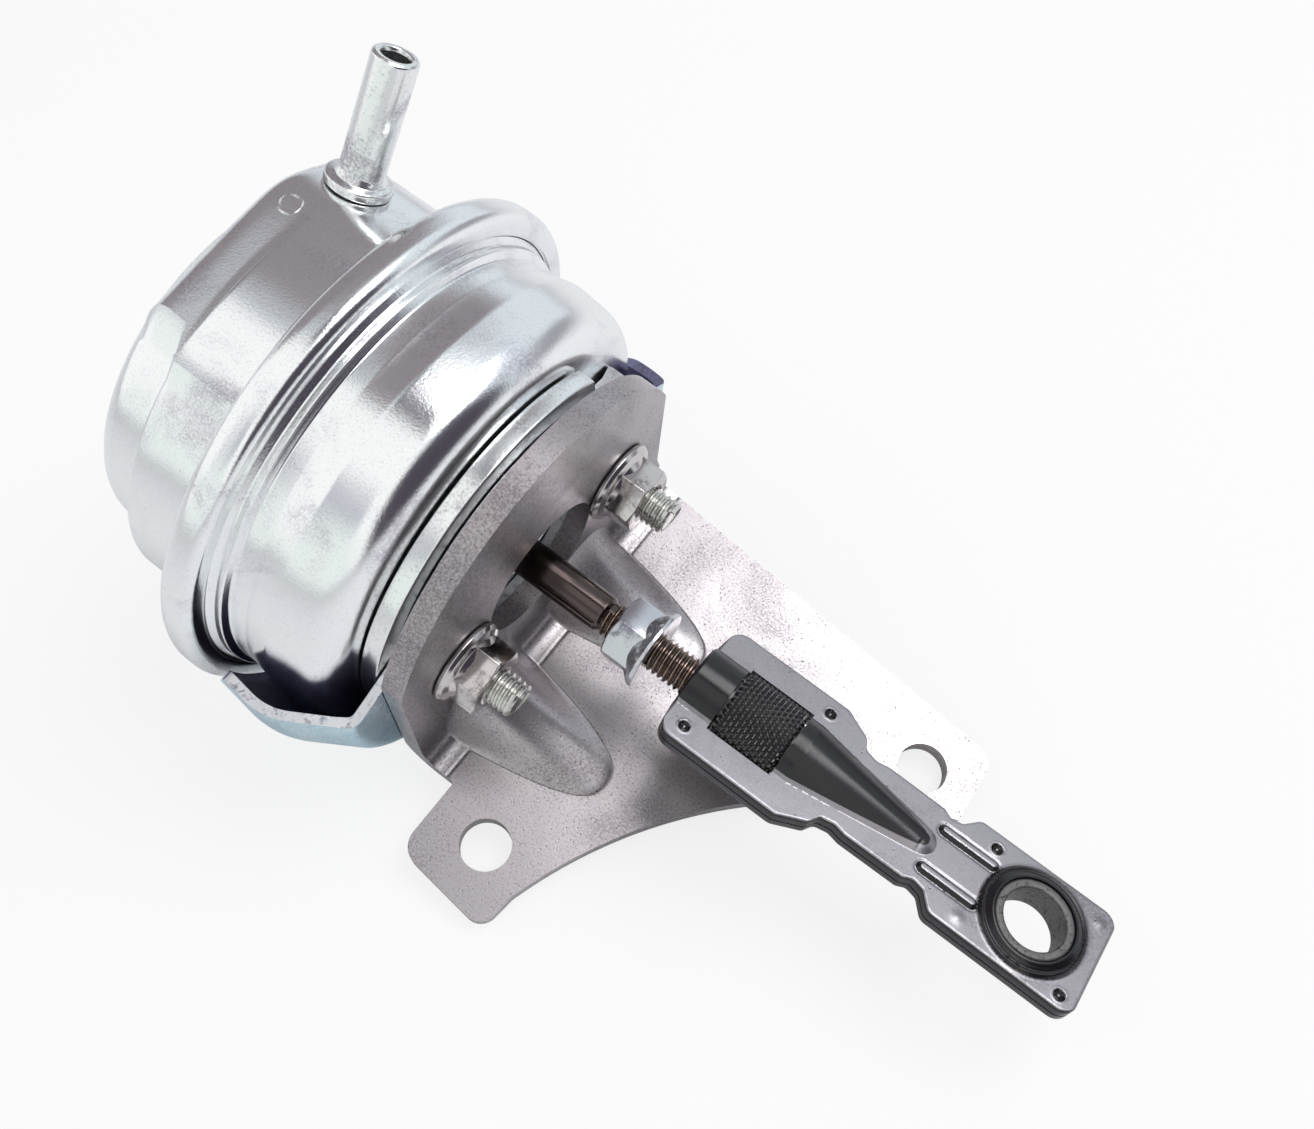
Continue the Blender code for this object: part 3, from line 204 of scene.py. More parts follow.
@dataclass(frozen=True)
class Finish:
    """A finish: a colour with clouds of a second one, fine grain, pits and pressed waviness, in millimetres."""

    name: str
    light: Colour
    dark: Colour
    metallic: float = 1.0
    roughness: float = 0.25
    spread: float = 0.1
    cloud_size: float = 14.0
    cloud_from: float = 0.5
    cloud_to: float = 0.7
    grain_size: float = 0.35
    grain_depth: float = 0.004
    wave_size: float = 9.0
    wave_depth: float = 0.05
    pit_size: float = 0.0
    pit_reach: float = 0.3
    pit_depth: float = 0.02
    brushed: Triple = (1, 1, 1)
    shine: float = 0.5
    specks: float = 0.0
    black_from: float = 0.0

    def material(self) -> bpy.types.Material:
        """Returns the material, which is made once, under a name that no material of the frame has."""
        name = f"look_{self.name}"
        if name in bpy.data.materials:
            return bpy.data.materials[name]
        made = bpy.data.materials.new(name)
        made.use_nodes = True
        made.node_tree.nodes.clear()
        mix = Mixer(made.node_tree)
        clouds = mix.noise(self.cloud_size, 5.0, 0.6).band(self.cloud_from, self.cloud_to)
        grain = mix.noise(self.grain_size, 3.0, stretch=self.brushed)
        share = clouds * grain.band(0.3, 0.55) + grain.band(0.54, 0.66) * self.specks
        colour = mix.blend(share, self.light, self.dark)
        rough = clouds * self.spread + grain * self.spread + (self.roughness - 0.5 * self.spread)
        normal = mix.bump(mix.noise(self.wave_size, 1.0), self.wave_depth)
        normal = mix.bump(grain, self.grain_depth, normal)
        if self.pit_size:
            pits = mix.pits(self.pit_size, self.pit_reach) * mix.noise(self.pit_size * 4, 2.0).band(0.45, 0.55)
            colour = mix.blend(pits * 0.7, colour, tuple(0.25 * part for part in self.dark))
            normal = mix.bump(1.0 - pits, self.pit_depth, normal)
        metallic: Wire | float = self.metallic
        if self.black_from:
            here = mix.node("TexCoord", output="Object")
            level = mix.node("VectorRotate", {"Vector": here, "Angle": LINK_ROLL}, {"rotation_type": "X_AXIS"})
            height = mix.node("SeparateXYZ", {0: level}, output="Z") - LINK_MIDDLE
            away = mix.node("Math", {0: height}, {"operation": "ABSOLUTE"})
            black = away.band((self.black_from - 0.05) * MM, (self.black_from + 0.05) * MM)
            colour = mix.blend(black, colour, BLACK)
            metallic = (1.0 - black) * self.metallic
            rough = rough - black * 0.12
        values = {"Base Color": colour, "Roughness": rough, "Metallic": metallic, "Normal": normal}
        values["Specular IOR Level"] = self.shine
        mix.node("OutputMaterial", {"Surface": mix.node("BsdfPrincipled", values)})
        return made


ZINC = Finish(
    "bright_zinc", (0.92, 0.94, 0.94), (0.56, 0.53, 0.59), roughness=0.16, spread=0.12, cloud_size=11.0,
    cloud_from=0.48, cloud_to=0.76, grain_size=0.28, grain_depth=0.015, specks=0.25,
)
ZINC_PLAIN = Finish(
    "smooth_zinc", (0.9, 0.92, 0.91), (0.5, 0.48, 0.52), roughness=0.2, cloud_size=6.0, cloud_to=0.72,
    grain_size=0.34, grain_depth=0.012, wave_depth=0.01, specks=0.4,
)
NUT_STEEL = Finish(
    "nut_steel", (0.64, 0.61, 0.6), (0.24, 0.21, 0.2), roughness=0.14, cloud_size=4.0, cloud_from=0.48,
    wave_depth=0.02,
)
BRUSHED_ZINC = Finish(
    "brushed_zinc", (0.52, 0.52, 0.51), (0.36, 0.35, 0.36), roughness=0.3, brushed=(1, 0.2, 0.2), wave_depth=0.01,
    cloud_size=20.0,
)
NUT_ZINC = Finish(
    "nut_zinc", (0.62, 0.63, 0.66), (0.28, 0.28, 0.32), roughness=0.17, cloud_size=2.6, wave_depth=0.01,
    grain_depth=0.003,
)
THREAD_ZINC = Finish(
    "thread_zinc", (0.68, 0.68, 0.645), (0.27, 0.27, 0.25), roughness=0.24, cloud_size=1.2, wave_depth=0.0
)
TUMBLED = Finish(
    "tumbled_steel", (0.5, 0.47, 0.48), (0.26, 0.24, 0.25), roughness=0.32, spread=0.12, cloud_size=16.0,
    cloud_from=0.3, cloud_to=0.8, grain_size=0.3, grain_depth=0.012, wave_depth=0.03, pit_size=0.62, pit_reach=0.22,
    pit_depth=0.015, specks=0.6,
)
ROD_DARK = Finish(
    "rod_dark", (0.1, 0.08, 0.076), (0.04, 0.032, 0.03), roughness=0.16, spread=0.08, cloud_size=4.0,
    brushed=(0.1, 1, 1), wave_depth=0.0,
)
ROD_THREAD = Finish(
    "rod_thread_bronze", (0.34, 0.27, 0.23), (0.1, 0.08, 0.065), roughness=0.24, cloud_size=1.4, wave_depth=0.0
)
LINK_SATIN = Finish(
    "link_satin", (0.35, 0.335, 0.355), (0.21, 0.2, 0.215), roughness=0.32, spread=0.14, metallic=0.9, cloud_from=0.4,
    grain_size=0.3, grain_depth=0.01, wave_depth=0.03, pit_size=1.3, pit_reach=0.13, specks=0.3, black_from=1.85,
)
# Gloss black of the tube and collar, also used as painted shade on the ribs, in the dimples and along the plates'
# borders
LINK_GLOSS_AND_SHADE = Finish(
    "link_gloss_and_painted_shade", BLACK, (0.005, 0.0045, 0.0055), metallic=0.0, roughness=0.2, spread=0.1, wave_depth=0.03,
    grain_size=0.5, cloud_size=5.0,
)
KNURL_BLACK = Finish(
    "knurl_black", (0.02, 0.018, 0.02), (0.008, 0.007, 0.008), metallic=0.0, roughness=0.26, shine=1.0,
    wave_depth=0.0,
)
BUSH_GREY = Finish(
    "sintered_bush", (0.16, 0.155, 0.15), (0.05, 0.045, 0.042), metallic=0.7, roughness=0.5, cloud_size=0.5,
    grain_size=0.25, grain_depth=0.02, wave_depth=0.0, pit_size=0.35,
)
SHIELD_OUTSIDE = Finish(
    "shield_outside", (0.6, 0.78, 0.84), (0.36, 0.52, 0.63), roughness=0.24, cloud_size=18.0, wave_depth=0.04
)
SHIELD_INSIDE = Finish(
    "shield_inside", (0.26, 0.27, 0.46), (0.09, 0.075, 0.15), roughness=0.36, metallic=0.6, cloud_from=0.35,
    cloud_to=0.6, wave_depth=0.04, specks=0.3,
)
SHIELD_EDGE = Finish(
    "shield_edge", (0.72, 0.73, 0.75), (0.26, 0.27, 0.31), roughness=0.36, cloud_size=0.9, grain_depth=0.06
)
SPRING_WIRE = Finish("spring_wire", (0.34, 0.34, 0.36), (0.18, 0.18, 0.19), roughness=0.3, brushed=(1, 1, 0.2))
OILED_BRONZE = Finish("oiled_bronze", (0.5, 0.34, 0.18), (0.3, 0.19, 0.09), roughness=0.35, pit_size=0.4)
RUBBER = Finish(
    "fabric_rubber", (0.03, 0.03, 0.032), (0.018, 0.018, 0.02), metallic=0.0, roughness=0.7, grain_size=0.5,
    grain_depth=0.03, wave_depth=0.0,
)


def take(piece: Piece) -> None:
    """Makes one piece the only selected and active one."""
    bpy.ops.object.select_all(action="DESELECT")
    piece.select_set(True)
    bpy.context.view_layer.objects.active = piece


def edit(piece: Piece) -> None:
    """Enters edit mode on one piece, with all of it selected."""
    take(piece)
    bpy.ops.object.mode_set(mode="EDIT")
    bpy.ops.mesh.select_all(action="SELECT")


def draw(name: str, points: Corners, closed: bool) -> Piece:
    """Draws a line of edges by extruding one point to the next, and leaves it in edit mode.

    Args:
        name: The name of the new object.
        points: The places of the points, each in three numbers.
        closed: Whether the last point meets the first one.

    Returns:
        The object, with all of its points selected.
    """
    bpy.ops.object.select_all(action="DESELECT")
    bpy.ops.mesh.primitive_plane_add(size=1.0)
    piece = bpy.context.object
    piece.name = name
    edit(piece)
    bpy.ops.mesh.merge(type="CENTER")
    bpy.ops.transform.translate(value=tuple(points[0]))
    route = [Vector(point) for point in points]
    if closed:
        route.append(route[0])
    for here, there in zip(route, route[1:]):
        bpy.ops.mesh.extrude_region_move(TRANSFORM_OT_translate={"value": tuple(there - here)})
    bpy.ops.mesh.select_all(action="SELECT")
    bpy.ops.mesh.remove_doubles(threshold=DOUBLES)
    return piece


def close(piece: Piece) -> Piece:
    """Merges doubles, turns the faces outwards and leaves edit mode."""
    bpy.ops.mesh.select_all(action="SELECT")
    bpy.ops.mesh.remove_doubles(threshold=DOUBLES)
    bpy.ops.mesh.normals_make_consistent(inside=False)
    bpy.ops.object.mode_set(mode="OBJECT")
    return piece


def spin(name: str, section: Corners, steps: int, detail: int = 8) -> Piece:
    """Spins a section about the rod's direction.

    Args:
        name: The name of the new piece.
        section: Its corners as (x, radius) or (x, radius, rounding). It stays open if it starts on the axis.
        steps: How many steps the turn has.
        detail: How many sides each rounding has.

    Returns:
        The piece.
    """
    closed = section[0][1] > 0
    piece = draw(name, [(x, 0.0, radius) for x, radius in rounded(section, closed, detail)], closed)
    bpy.ops.mesh.spin(steps=steps, angle=2 * math.pi, center=(0, 0, 0), axis=(1, 0, 0))
    return close(piece)


def block(name: str, outline: Corners, low: float, high: float, along: str = "Z") -> Piece:
    """Extrudes a closed outline along an axis.

    Args:
        name: The name of the new piece.
        outline: Its corners, each maybe with a rounding: (y, z) for X, (x, z) for Y and (x, y) for Z.
        low: Where it starts on the axis.
        high: Where it ends.
        along: The axis.

    Returns:
        The piece.
    """
    axis = "XYZ".index(along)
    places = [(*point[:axis], low, *point[axis:]) for point in rounded(outline, closed=True)]
    rise = [high - low if index == axis else 0.0 for index in range(3)]
    piece = draw(name, places, True)
    bpy.ops.mesh.edge_face_add()
    bpy.ops.mesh.extrude_region_move(TRANSFORM_OT_translate={"value": rise})
    return close(piece)


def bar(name: str, centre: Point, radius: float, low: float, high: float, along: str = "X", steps: int = 64) -> Piece:
    """Makes a round bar along an axis, as a cutter."""
    return block(name, arc(centre, radius, 0.0, 360.0 - 360.0 / steps, steps - 1), low, high, along)


def lay(name: str, rows: Sequence[Corners]) -> Piece:
    """Lays a grid on rows of points."""
    bpy.ops.object.select_all(action="DESELECT")
    across, along = len(rows[0]) - 1, len(rows) - 1
    bpy.ops.mesh.primitive_grid_add(x_subdivisions=across, y_subdivisions=along, size=1.0)
    piece = bpy.context.object
    piece.name = name
    piece.data.vertices.foreach_set("co", np.array(rows, dtype=np.float32).reshape(-1))
    piece.data.update()
    return piece


def apply(piece: Piece, kind: str, **settings: object) -> None:
    """Adds a modifier with its settings and applies it."""
    take(piece)
    modifier = piece.modifiers.new(kind.lower(), kind)
    for name, value in settings.items():
        setattr(modifier, name, value)
    bpy.ops.object.modifier_apply(modifier=modifier.name)


def carve(piece: Piece, cut: Cut, *tools: Piece) -> None:
    """Cuts or trims a piece with other ones, which are used up."""
    for tool in tools:
        apply(piece, "BOOLEAN", operation=cut.value, solver="EXACT", object=tool)
        bpy.data.objects.remove(tool, do_unlink=True)


def helix(name: str, start: float, end: float, root: float, crest: float) -> Piece:
    """Winds the ridge of a thread by a Screw modifier, closed at both ends."""
    turns = int((end - start) / PITCH)
    foot = root - 0.15
    ridge = ((0.0, foot), (0.06, root), (0.42, crest), (0.55, crest), (0.91, root), (0.97, foot))
    piece = draw(name, [(start + share * PITCH, 0.0, radius) for share, radius in ridge], True)
    bpy.ops.object.mode_set(mode="OBJECT")
    apply(piece, "SCREW", axis="X", screw_offset=PITCH, iterations=turns, steps=28, render_steps=28)
    edit(piece)
    bpy.ops.mesh.fill_holes(sides=8)
    return close(piece)


def join(piece: Piece, *others: Piece) -> Piece:
    """Joins other objects into one piece."""
    take(piece)
    for other in others:
        other.select_set(True)
    bpy.ops.object.join()
    return piece


def arc(centre: Point, radius: float, start: float, end: float, steps: int) -> list[Point]:
    """Returns the points of an arc, with its angles in degrees."""
    angles = [math.radians(start + (end - start) * step / steps) for step in range(steps + 1)]
    return [(centre[0] + radius * math.cos(a), centre[1] + radius * math.sin(a)) for a in angles]


def rounded(corners: Corners, closed: bool = False, detail: int = 8) -> list[Point]:
    """Rounds a polyline.

    Args:
        corners: The corners as (u, v) or (u, v, radius).
        closed: Whether the last corner meets the first one.
        detail: How many sides each rounding has.

    Returns:
        The points of the rounded line.
    """
    points: list[Point] = []
    count = len(corners)
    for index, corner in enumerate(corners):
        here = Vector(corner[:2])
        if len(corner) == 2 or not (closed or 0 < index < count - 1):
            points.append(tuple(here))
            continue
        before = Vector(corners[index - 1][:2]) - here
        after = Vector(corners[(index + 1) % count][:2]) - here
        half = before.angle(after) / 2
        reach = min(corner[2] / math.tan(half), before.length * 0.495, after.length * 0.495)
        radius = reach * math.tan(half)
        centre = here + (before.normalized() + after.normalized()).normalized() * (radius / math.sin(half))
        first = here + before.normalized() * reach - centre
        last = here + after.normalized() * reach - centre
        turn = first.angle_signed(last)
        points += [tuple(centre + Matrix.Rotation(-turn * step / detail, 2) @ first) for step in range(detail + 1)]
    return points


def plateau(height: float, away: np.ndarray, reach: float, soft: float) -> np.ndarray:
    """Returns the height within the reach and 0 beyond it, with a soft step between."""
    return height / (1 + np.exp((away - reach) / soft))


def ring(height: float, away: np.ndarray, reach: float, width: float) -> np.ndarray:
    """Returns a soft ridge whose crest has the height and stands at the reach."""
    return height * np.exp(-(((away - reach) / width) ** 2))


def wall(path: Sequence[Point], thickness: float) -> list[Point]:
    """Returns the closed section of a sheet that follows a path.

    Args:
        path: The points of one side of the sheet.
        thickness: How thick it is, to the left of the path's direction.

    Returns:
        The points of that side, and then the other side's backwards.
    """
    moved, last = [], len(path) - 1
    for index, point in enumerate(path):
        before = Vector(path[max(index, 1)]) - Vector(path[max(index, 1) - 1])
        after = Vector(path[min(index, last - 1) + 1]) - Vector(path[min(index, last - 1)])
        left = Vector((-before.y, before.x)).normalized() + Vector((-after.y, after.x)).normalized()
        left.normalize()
        stretch = left.dot(Vector((-before.y, before.x)).normalized())
        moved.append(tuple(Vector(point) + left * (thickness / max(stretch, 0.3))))
    return list(path) + moved[::-1]


@dataclass
class Assembly:
    """What every sub-assembly shares: its body and the way a piece is handed over."""

    body: Body = Body.HOUSING

    def hand_over(
        self,
        piece: Piece,
        finish: Finish,
        slot: str,
        replaces: Sequence[str] = (),
        at: Matrix = ON_AXIS,
        smooth: float = 32.0,
    ) -> None:
        """Places a piece in the frame, dresses it, hangs it on its body and hides the nodes that it stands for.

        Args:
            piece: The piece, drawn in millimetres.
            finish: Its finish, unless it has materials already.
            slot: The record's slot that the finish belongs to; it is not used.
            replaces: The nodes of the frame that it stands for.
            at: The matrix that carries it to its place.
            smooth: The angle in degrees above which an edge stays sharp.
        """
        take(piece)
        piece.data.transform(at)
        bpy.ops.object.shade_smooth_by_angle(angle=math.radians(smooth))
        if not piece.data.materials:
            piece.data.materials.append(finish.material())
        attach(piece, self.body.value)
        if replaces:
            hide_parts(*replaces)
        LOG.info("%s: %d faces", piece.name, len(piece.data.polygons))


@dataclass
class Canister(Assembly):
    """The two cups, the rolled rim and the hose nipple."""

    rim_front: float = -24.0
    rim_back: float = -29.0
    rim_radius: float = 35.1
    lip_radius: float = 32.0
    back: float = -48.6
    back_radius: float = 25.4
    back_corner: float = 3.2
    step: float = -41.4
    step_length: float = 1.7
    body_radius: float = 28.7
    sheet: float = 1.0
    face: float = -6.8
    nipple_angle: float = 56.0
    nipple_centre: float = -40.0
    pad_back: float = -46.2
    pad_height: float = 29.9
    pad_half_width: float = 6.6
    pad_melt: float = 0.45
    fineness: float = 0.55

    def rear_cup(self) -> None:
        """Spins the rear cup with its rolled rim, presses its pad and adds the weld mark."""
        sheet, back, step, rim, front = self.sheet, self.back, self.step, self.rim_back, self.rim_front
        small, body, edge, lip = self.back_radius, self.body_radius, self.rim_radius, self.lip_radius
        outer = [(back, 0.0), (back, small, self.back_corner), (step, small + 0.4, 0.5)]
        outer += [(step + self.step_length, body, 0.8), (rim, body, 1.8), (rim, edge, 2.1), (front, edge, 2.1)]
        inner = [(front, lip, 0.45), (front - sheet, lip, 0.45), (front - sheet, edge - sheet)]
        inner += [(rim + sheet, edge - sheet), (rim + sheet, body - sheet, 1.0), (step + 2.0, body - sheet)]
        inner += [(step + 0.5, small - sheet), (back + sheet, small - sheet, 2.0), (back + sheet, 0.0)]
        cup = spin("rear_cup", self.fine(rounded(outer + inner)), steps=224)
        self.press_pad(cup)
        self.hand_over(join(cup, self.weld_mark(cup)), ZINC, "zinc", ["rear_cover"])

    def fine(self, section: Sequence[Point]) -> list[Point]:
        """Splits the long sides of a section, so that the pad can be pressed out of them."""
        points = [section[0]]
        for here, there in zip(section, section[1:]):
            length = (Vector(there) - Vector(here)).length
            parts = max(1, math.ceil(length / self.fineness)) if here[1] > 20.0 < there[1] else 1
            points += [tuple(Vector(here).lerp(there, part / parts)) for part in range(1, parts + 1)]
        return points

    def press_pad(self, cup: Piece) -> None:
        """Presses the flat pad under the nipple out of the cup, with soft flanks, by moving the cup's points."""
        mesh = cup.data
        places = np.empty(len(mesh.vertices) * 3, np.float32)
        mesh.vertices.foreach_get("co", places)
        x, y, z = places.reshape(-1, 3).T.astype(float)
        turn = math.radians(self.nipple_angle)
        height = y * math.cos(turn) + z * math.sin(turn)
        across = -y * math.sin(turn) + z * math.cos(turn)
        radius = np.hypot(y, z)
        skin = np.interp(x, [self.step, self.step + self.step_length], [self.back_radius, self.body_radius])
        inner = radius < skin - 0.5
        flank = 1.2 * np.logaddexp(0, (np.abs(across) - self.pad_half_width) / 1.2)
        end = 0.5 * np.logaddexp(0, (self.pad_back + 0.3 - x) / 0.5)
        plane = self.pad_height - 0.8 * flank - 2.5 * end - np.where(inner, self.sheet, 0.0)
        lifted = self.pad_melt * np.logaddexp(height / self.pad_melt, plane / self.pad_melt)
        part = (x > self.back + 0.4) & (x < self.rim_back + 0.9) & (height > 12.0) & (radius < self.body_radius + 1.8)
        rise = np.where(part, lifted - height, 0.0)
        y, z = y + rise * math.cos(turn), z + rise * math.sin(turn)
        mesh.vertices.foreach_set("co", np.stack([x, y, z], -1).astype(np.float32).reshape(-1))
        mesh.update()

    def weld_mark(self, cup: Piece) -> Piece:
        """Returns the small round weld mark, laid on the cup at the side of the pad."""
        section = [(-0.5, 0.0), (-0.5, 1.55), (-0.02, 1.55), (0.035, 1.3, 0.1), (-0.03, 0.95, 0.2), (0.01, 0.0)]
        mark = spin("weld_mark", section, steps=48)
        _, place, normal, _ = cup.closest_point_on_mesh((-42.4, 8.8, 28.1))
        outward = normal.to_track_quat("X", "Z").to_matrix().to_4x4()
        mark.data.transform(Matrix.Translation(place) @ outward)
        return mark

    def nipple(self) -> None:
        """Spins the hose nipple with its collar and stands it on the pad."""
        section = [
            (28.4, 1.7), (28.4, 2.9), (29.9, 2.9), (30.05, 4.1, 0.2), (31.15, 4.15, 0.45), (31.35, 3.15, 0.35),
            (32.2, 2.75, 0.6), (46.3, 2.75, 0.35), (46.6, 2.45, 0.25), (46.6, 1.85, 0.25), (46.1, 1.7, 0.2),
        ]
        tube = spin("hose_tube", section, steps=64)
        up = Matrix.Rotation(math.radians(self.nipple_angle), 4, "X") @ Matrix.Rotation(math.radians(90), 4, "Z")
        tube.data.transform(Matrix.Translation((self.nipple_centre, 0.0, 0.0)) @ up)
        self.hand_over(tube, ZINC_PLAIN, "zinc", ["hose_nipple"])

    def front_cup(self) -> None:
        """Spins the front cup: its flange in the rim, the neck, the full shoulder and the flat face."""
        flange = self.rim_front - self.sheet - 0.1
        back = [(flange, 33.6), (flange, 31.93, 0.2), (flange + 0.8, 31.93, 0.3), (flange + 1.5, 31.2, 0.5)]
        neck = [(flange + 2.5, 31.25, 0.3), (flange + 3.0, 30.25, 0.5), (flange + 5.4, 30.3, 3.0)]
        face = self.face
        shoulder = [(face - 9.1, 31.0, 3.0), (face - 1.1, 30.2, 7.6), (face, 21.0, 1.5), (face, 6.2)]
        cup = spin("front_cup", wall(rounded(back + neck + shoulder, detail=12), -self.sheet), steps=160)
        self.hand_over(cup, ZINC, "zinc", ["front_cover"])

    def build(self) -> None:
        """Builds the canister."""
        self.rear_cup()
        self.nipple()
        self.front_cup()


@dataclass
class FrontStack(Assembly):
    """The stud plate, the studs and their nuts."""

    plate_back: float = -6.5
    plate_face: float = -4.6
    plate_radius: float = 25.2
    stud_tip: float = 8.7

    def stud_plate(self) -> None:
        """Spins the stud plate and cuts its side."""
        back, face, radius = self.plate_back, self.plate_face, self.plate_radius
        section = [(back, 9.9), (back, radius - 1.6, 0.8), (back - 0.6, radius, 0.2), (face, radius, 0.3)]
        section.append((face, 9.9, 0.3))
        plate = spin("stud_plate_disc", section, steps=160)
        notch = [(16.6, 12.9, 0.8), (28.0, 9.9), (28.0, 28.0), (15.6, 28.0)]
        carve(plate, Cut.TAKE, block("notch", notch, back - 1.0, face + 1.0, "X"))
        self.hand_over(plate, ZINC_PLAIN, "zinc", ["stud_plate"])

    def stud(self, side: str, y: float) -> None:
        """Turns one stud and winds its thread."""
        tip = self.stud_tip
        core = [(-10.1, 0.0), (-10.1, 4.2), (-9.0, 4.2), (-9.0, 2.1), (tip - 0.5, 2.1), (tip, 1.7, 0.3), (tip, 0.0)]
        piece = spin(f"stud_core_{side}", core, steps=48)
        join(piece, helix(f"stud_ridge_{side}", 2.0, tip - 0.1, 2.05, 2.4))
        piece.data.transform(Matrix.Translation((0.0, y, 0.0)))
        self.hand_over(piece, THREAD_ZINC, "zinc", [f"stud_{side}"])

    def build(self) -> None:
        """Builds the stack."""
        self.stud_plate()
        for side, y, turn in zip(("left", "right"), STUDS, (14.0, 40.0)):
            self.stud(side, y)
            FlangeNut(centre=y, turn=turn).build(f"flange_nut_{side}")


@dataclass
class FlangeNut(Assembly):
    """A hexagon nut with a thin flange, which looks back when facing is 1 and forward when it is -1."""

    back: float = 0.2
    height: float = 5.0
    facing: int = 1
    flats: float = 8.1
    flange: float = 5.7
    bore: float = 2.45
    centre: float = 0.0
    turn: float = 0.0
    finish: Finish = NUT_STEEL

    def build(self, node: str) -> None:
        """Builds the nut that stands for one node."""
        corner, half = self.flats / math.sqrt(3), self.flats * 0.5
        top, bore, flange = self.height, self.bore, self.flange
        nut = block(f"{node}_hex", arc((0, 0), corner, self.turn, self.turn + 300, 5), 0.5, top, "X")
        cone = [(0.0, 0.0), (0.0, flange), (top - 0.75, flange), (top, half - 0.1), (top, 0.0)]
        carve(nut, Cut.KEEP, spin("cone", cone, steps=96))
        apply(nut, "BEVEL", width=0.12, segments=2, limit_method="ANGLE", angle_limit=math.radians(40.0))
        mouth = [(-0.5, 0.0), (-0.5, bore), (top - 0.5, bore), (top + 0.3, bore + 0.75), (top + 0.3, 0.0)]
        carve(nut, Cut.TAKE, spin("mouth", mouth, steps=64))
        base = [(0.0, bore), (0.0, flange - 0.1, 0.1), (0.45, flange, 0.25), (0.95, flange - 0.35, 0.35)]
        base += [(1.35, corner * 0.99, 0.5), (2.1, half, 0.3), (2.1, bore)]
        nut = join(nut, spin("base", base, steps=96))
        if self.facing < 0:
            nut.data.transform(Matrix.Rotation(math.pi, 4, "Z"))
        nut.data.transform(Matrix.Translation((self.back, self.centre, 0.0)))
        self.hand_over(nut, self.finish, "zinc", [node])


@dataclass
class HeatShield(Assembly):
    """The blued shield: a flat tab behind the flange and a flared skirt round the lower half."""

    face: float = -3.2
    sheet: float = 1.2
    corner_radius: float = 30.2
    belly_length: float = 9.4
    belly_radius: float = 35.7
    skirt_end: float = -23.3
    end_radius: float = 34.4
    left_cut: float = 4.0
    left_edge: float = -19.3
    left_slope: float = 2.6
    right_cut: float = 0.3

    def build(self) -> None:
        """Spins the shield, trims its upper half and dresses its two sides and its edge apart."""
        outer = [(self.face, 10.3), (self.face, self.corner_radius, 2.2)]
        outer += [(self.face - self.belly_length, self.belly_radius, 9.0), (self.skirt_end, self.end_radius)]
        shield = spin("shield_shell", wall(rounded(outer, detail=12), self.sheet), steps=192)
        far, corner, left, right = 45.0, self.corner_radius, self.left_cut, self.right_cut
        back, front = self.skirt_end - 5.0, self.face - 0.1
        above = [(far, right), (far, far), (-far, far), (-far, left), (-corner, left)]
        above += arc((0, 0), 22.0, 158.0, 22.0, 23) + [(corner, right)]
        relief = [(front, right), (back, right - (front - back)), (back, far), (front, far)]
        fall = (self.left_edge - back) * self.left_slope
        slant = [(-10.0, left), (self.left_edge, left, 1.2), (back, left - fall), (back, far), (-10.0, far)]
        sides = block("relief", relief, corner * 0.85, far, "Y"), block("slant", slant, -far, -corner * 0.5, "Y")
        holes = [bar("hole", (y, 0.0), STUD_HOLE, -12.0, 2.0) for y in STUDS]
        carve(shield, Cut.TAKE, *sides, *holes, block("above", above, back, 1.0, "X"))
        for finish in (SHIELD_OUTSIDE, SHIELD_INSIDE, SHIELD_EDGE):
            shield.data.materials.append(finish.material())
        for face in shield.data.polygons:
            outward = Vector((0.0, face.center.y, face.center.z)).normalized()
            radius = math.hypot(face.center.y, face.center.z)
            on_skirt = radius > self.corner_radius - 2.5
            side = 0.7 * (face.normal.dot(outward) + face.normal.x) if on_skirt else face.normal.x
            sheared = abs(side) < 0.35 or radius > self.corner_radius + 1.0 and face.normal.x < -0.9
            face.material_index = 2 if sheared else int(side < 0)
        self.hand_over(shield, SHIELD_OUTSIDE, "shield_steel", ["heat_shield"], smooth=30.0)


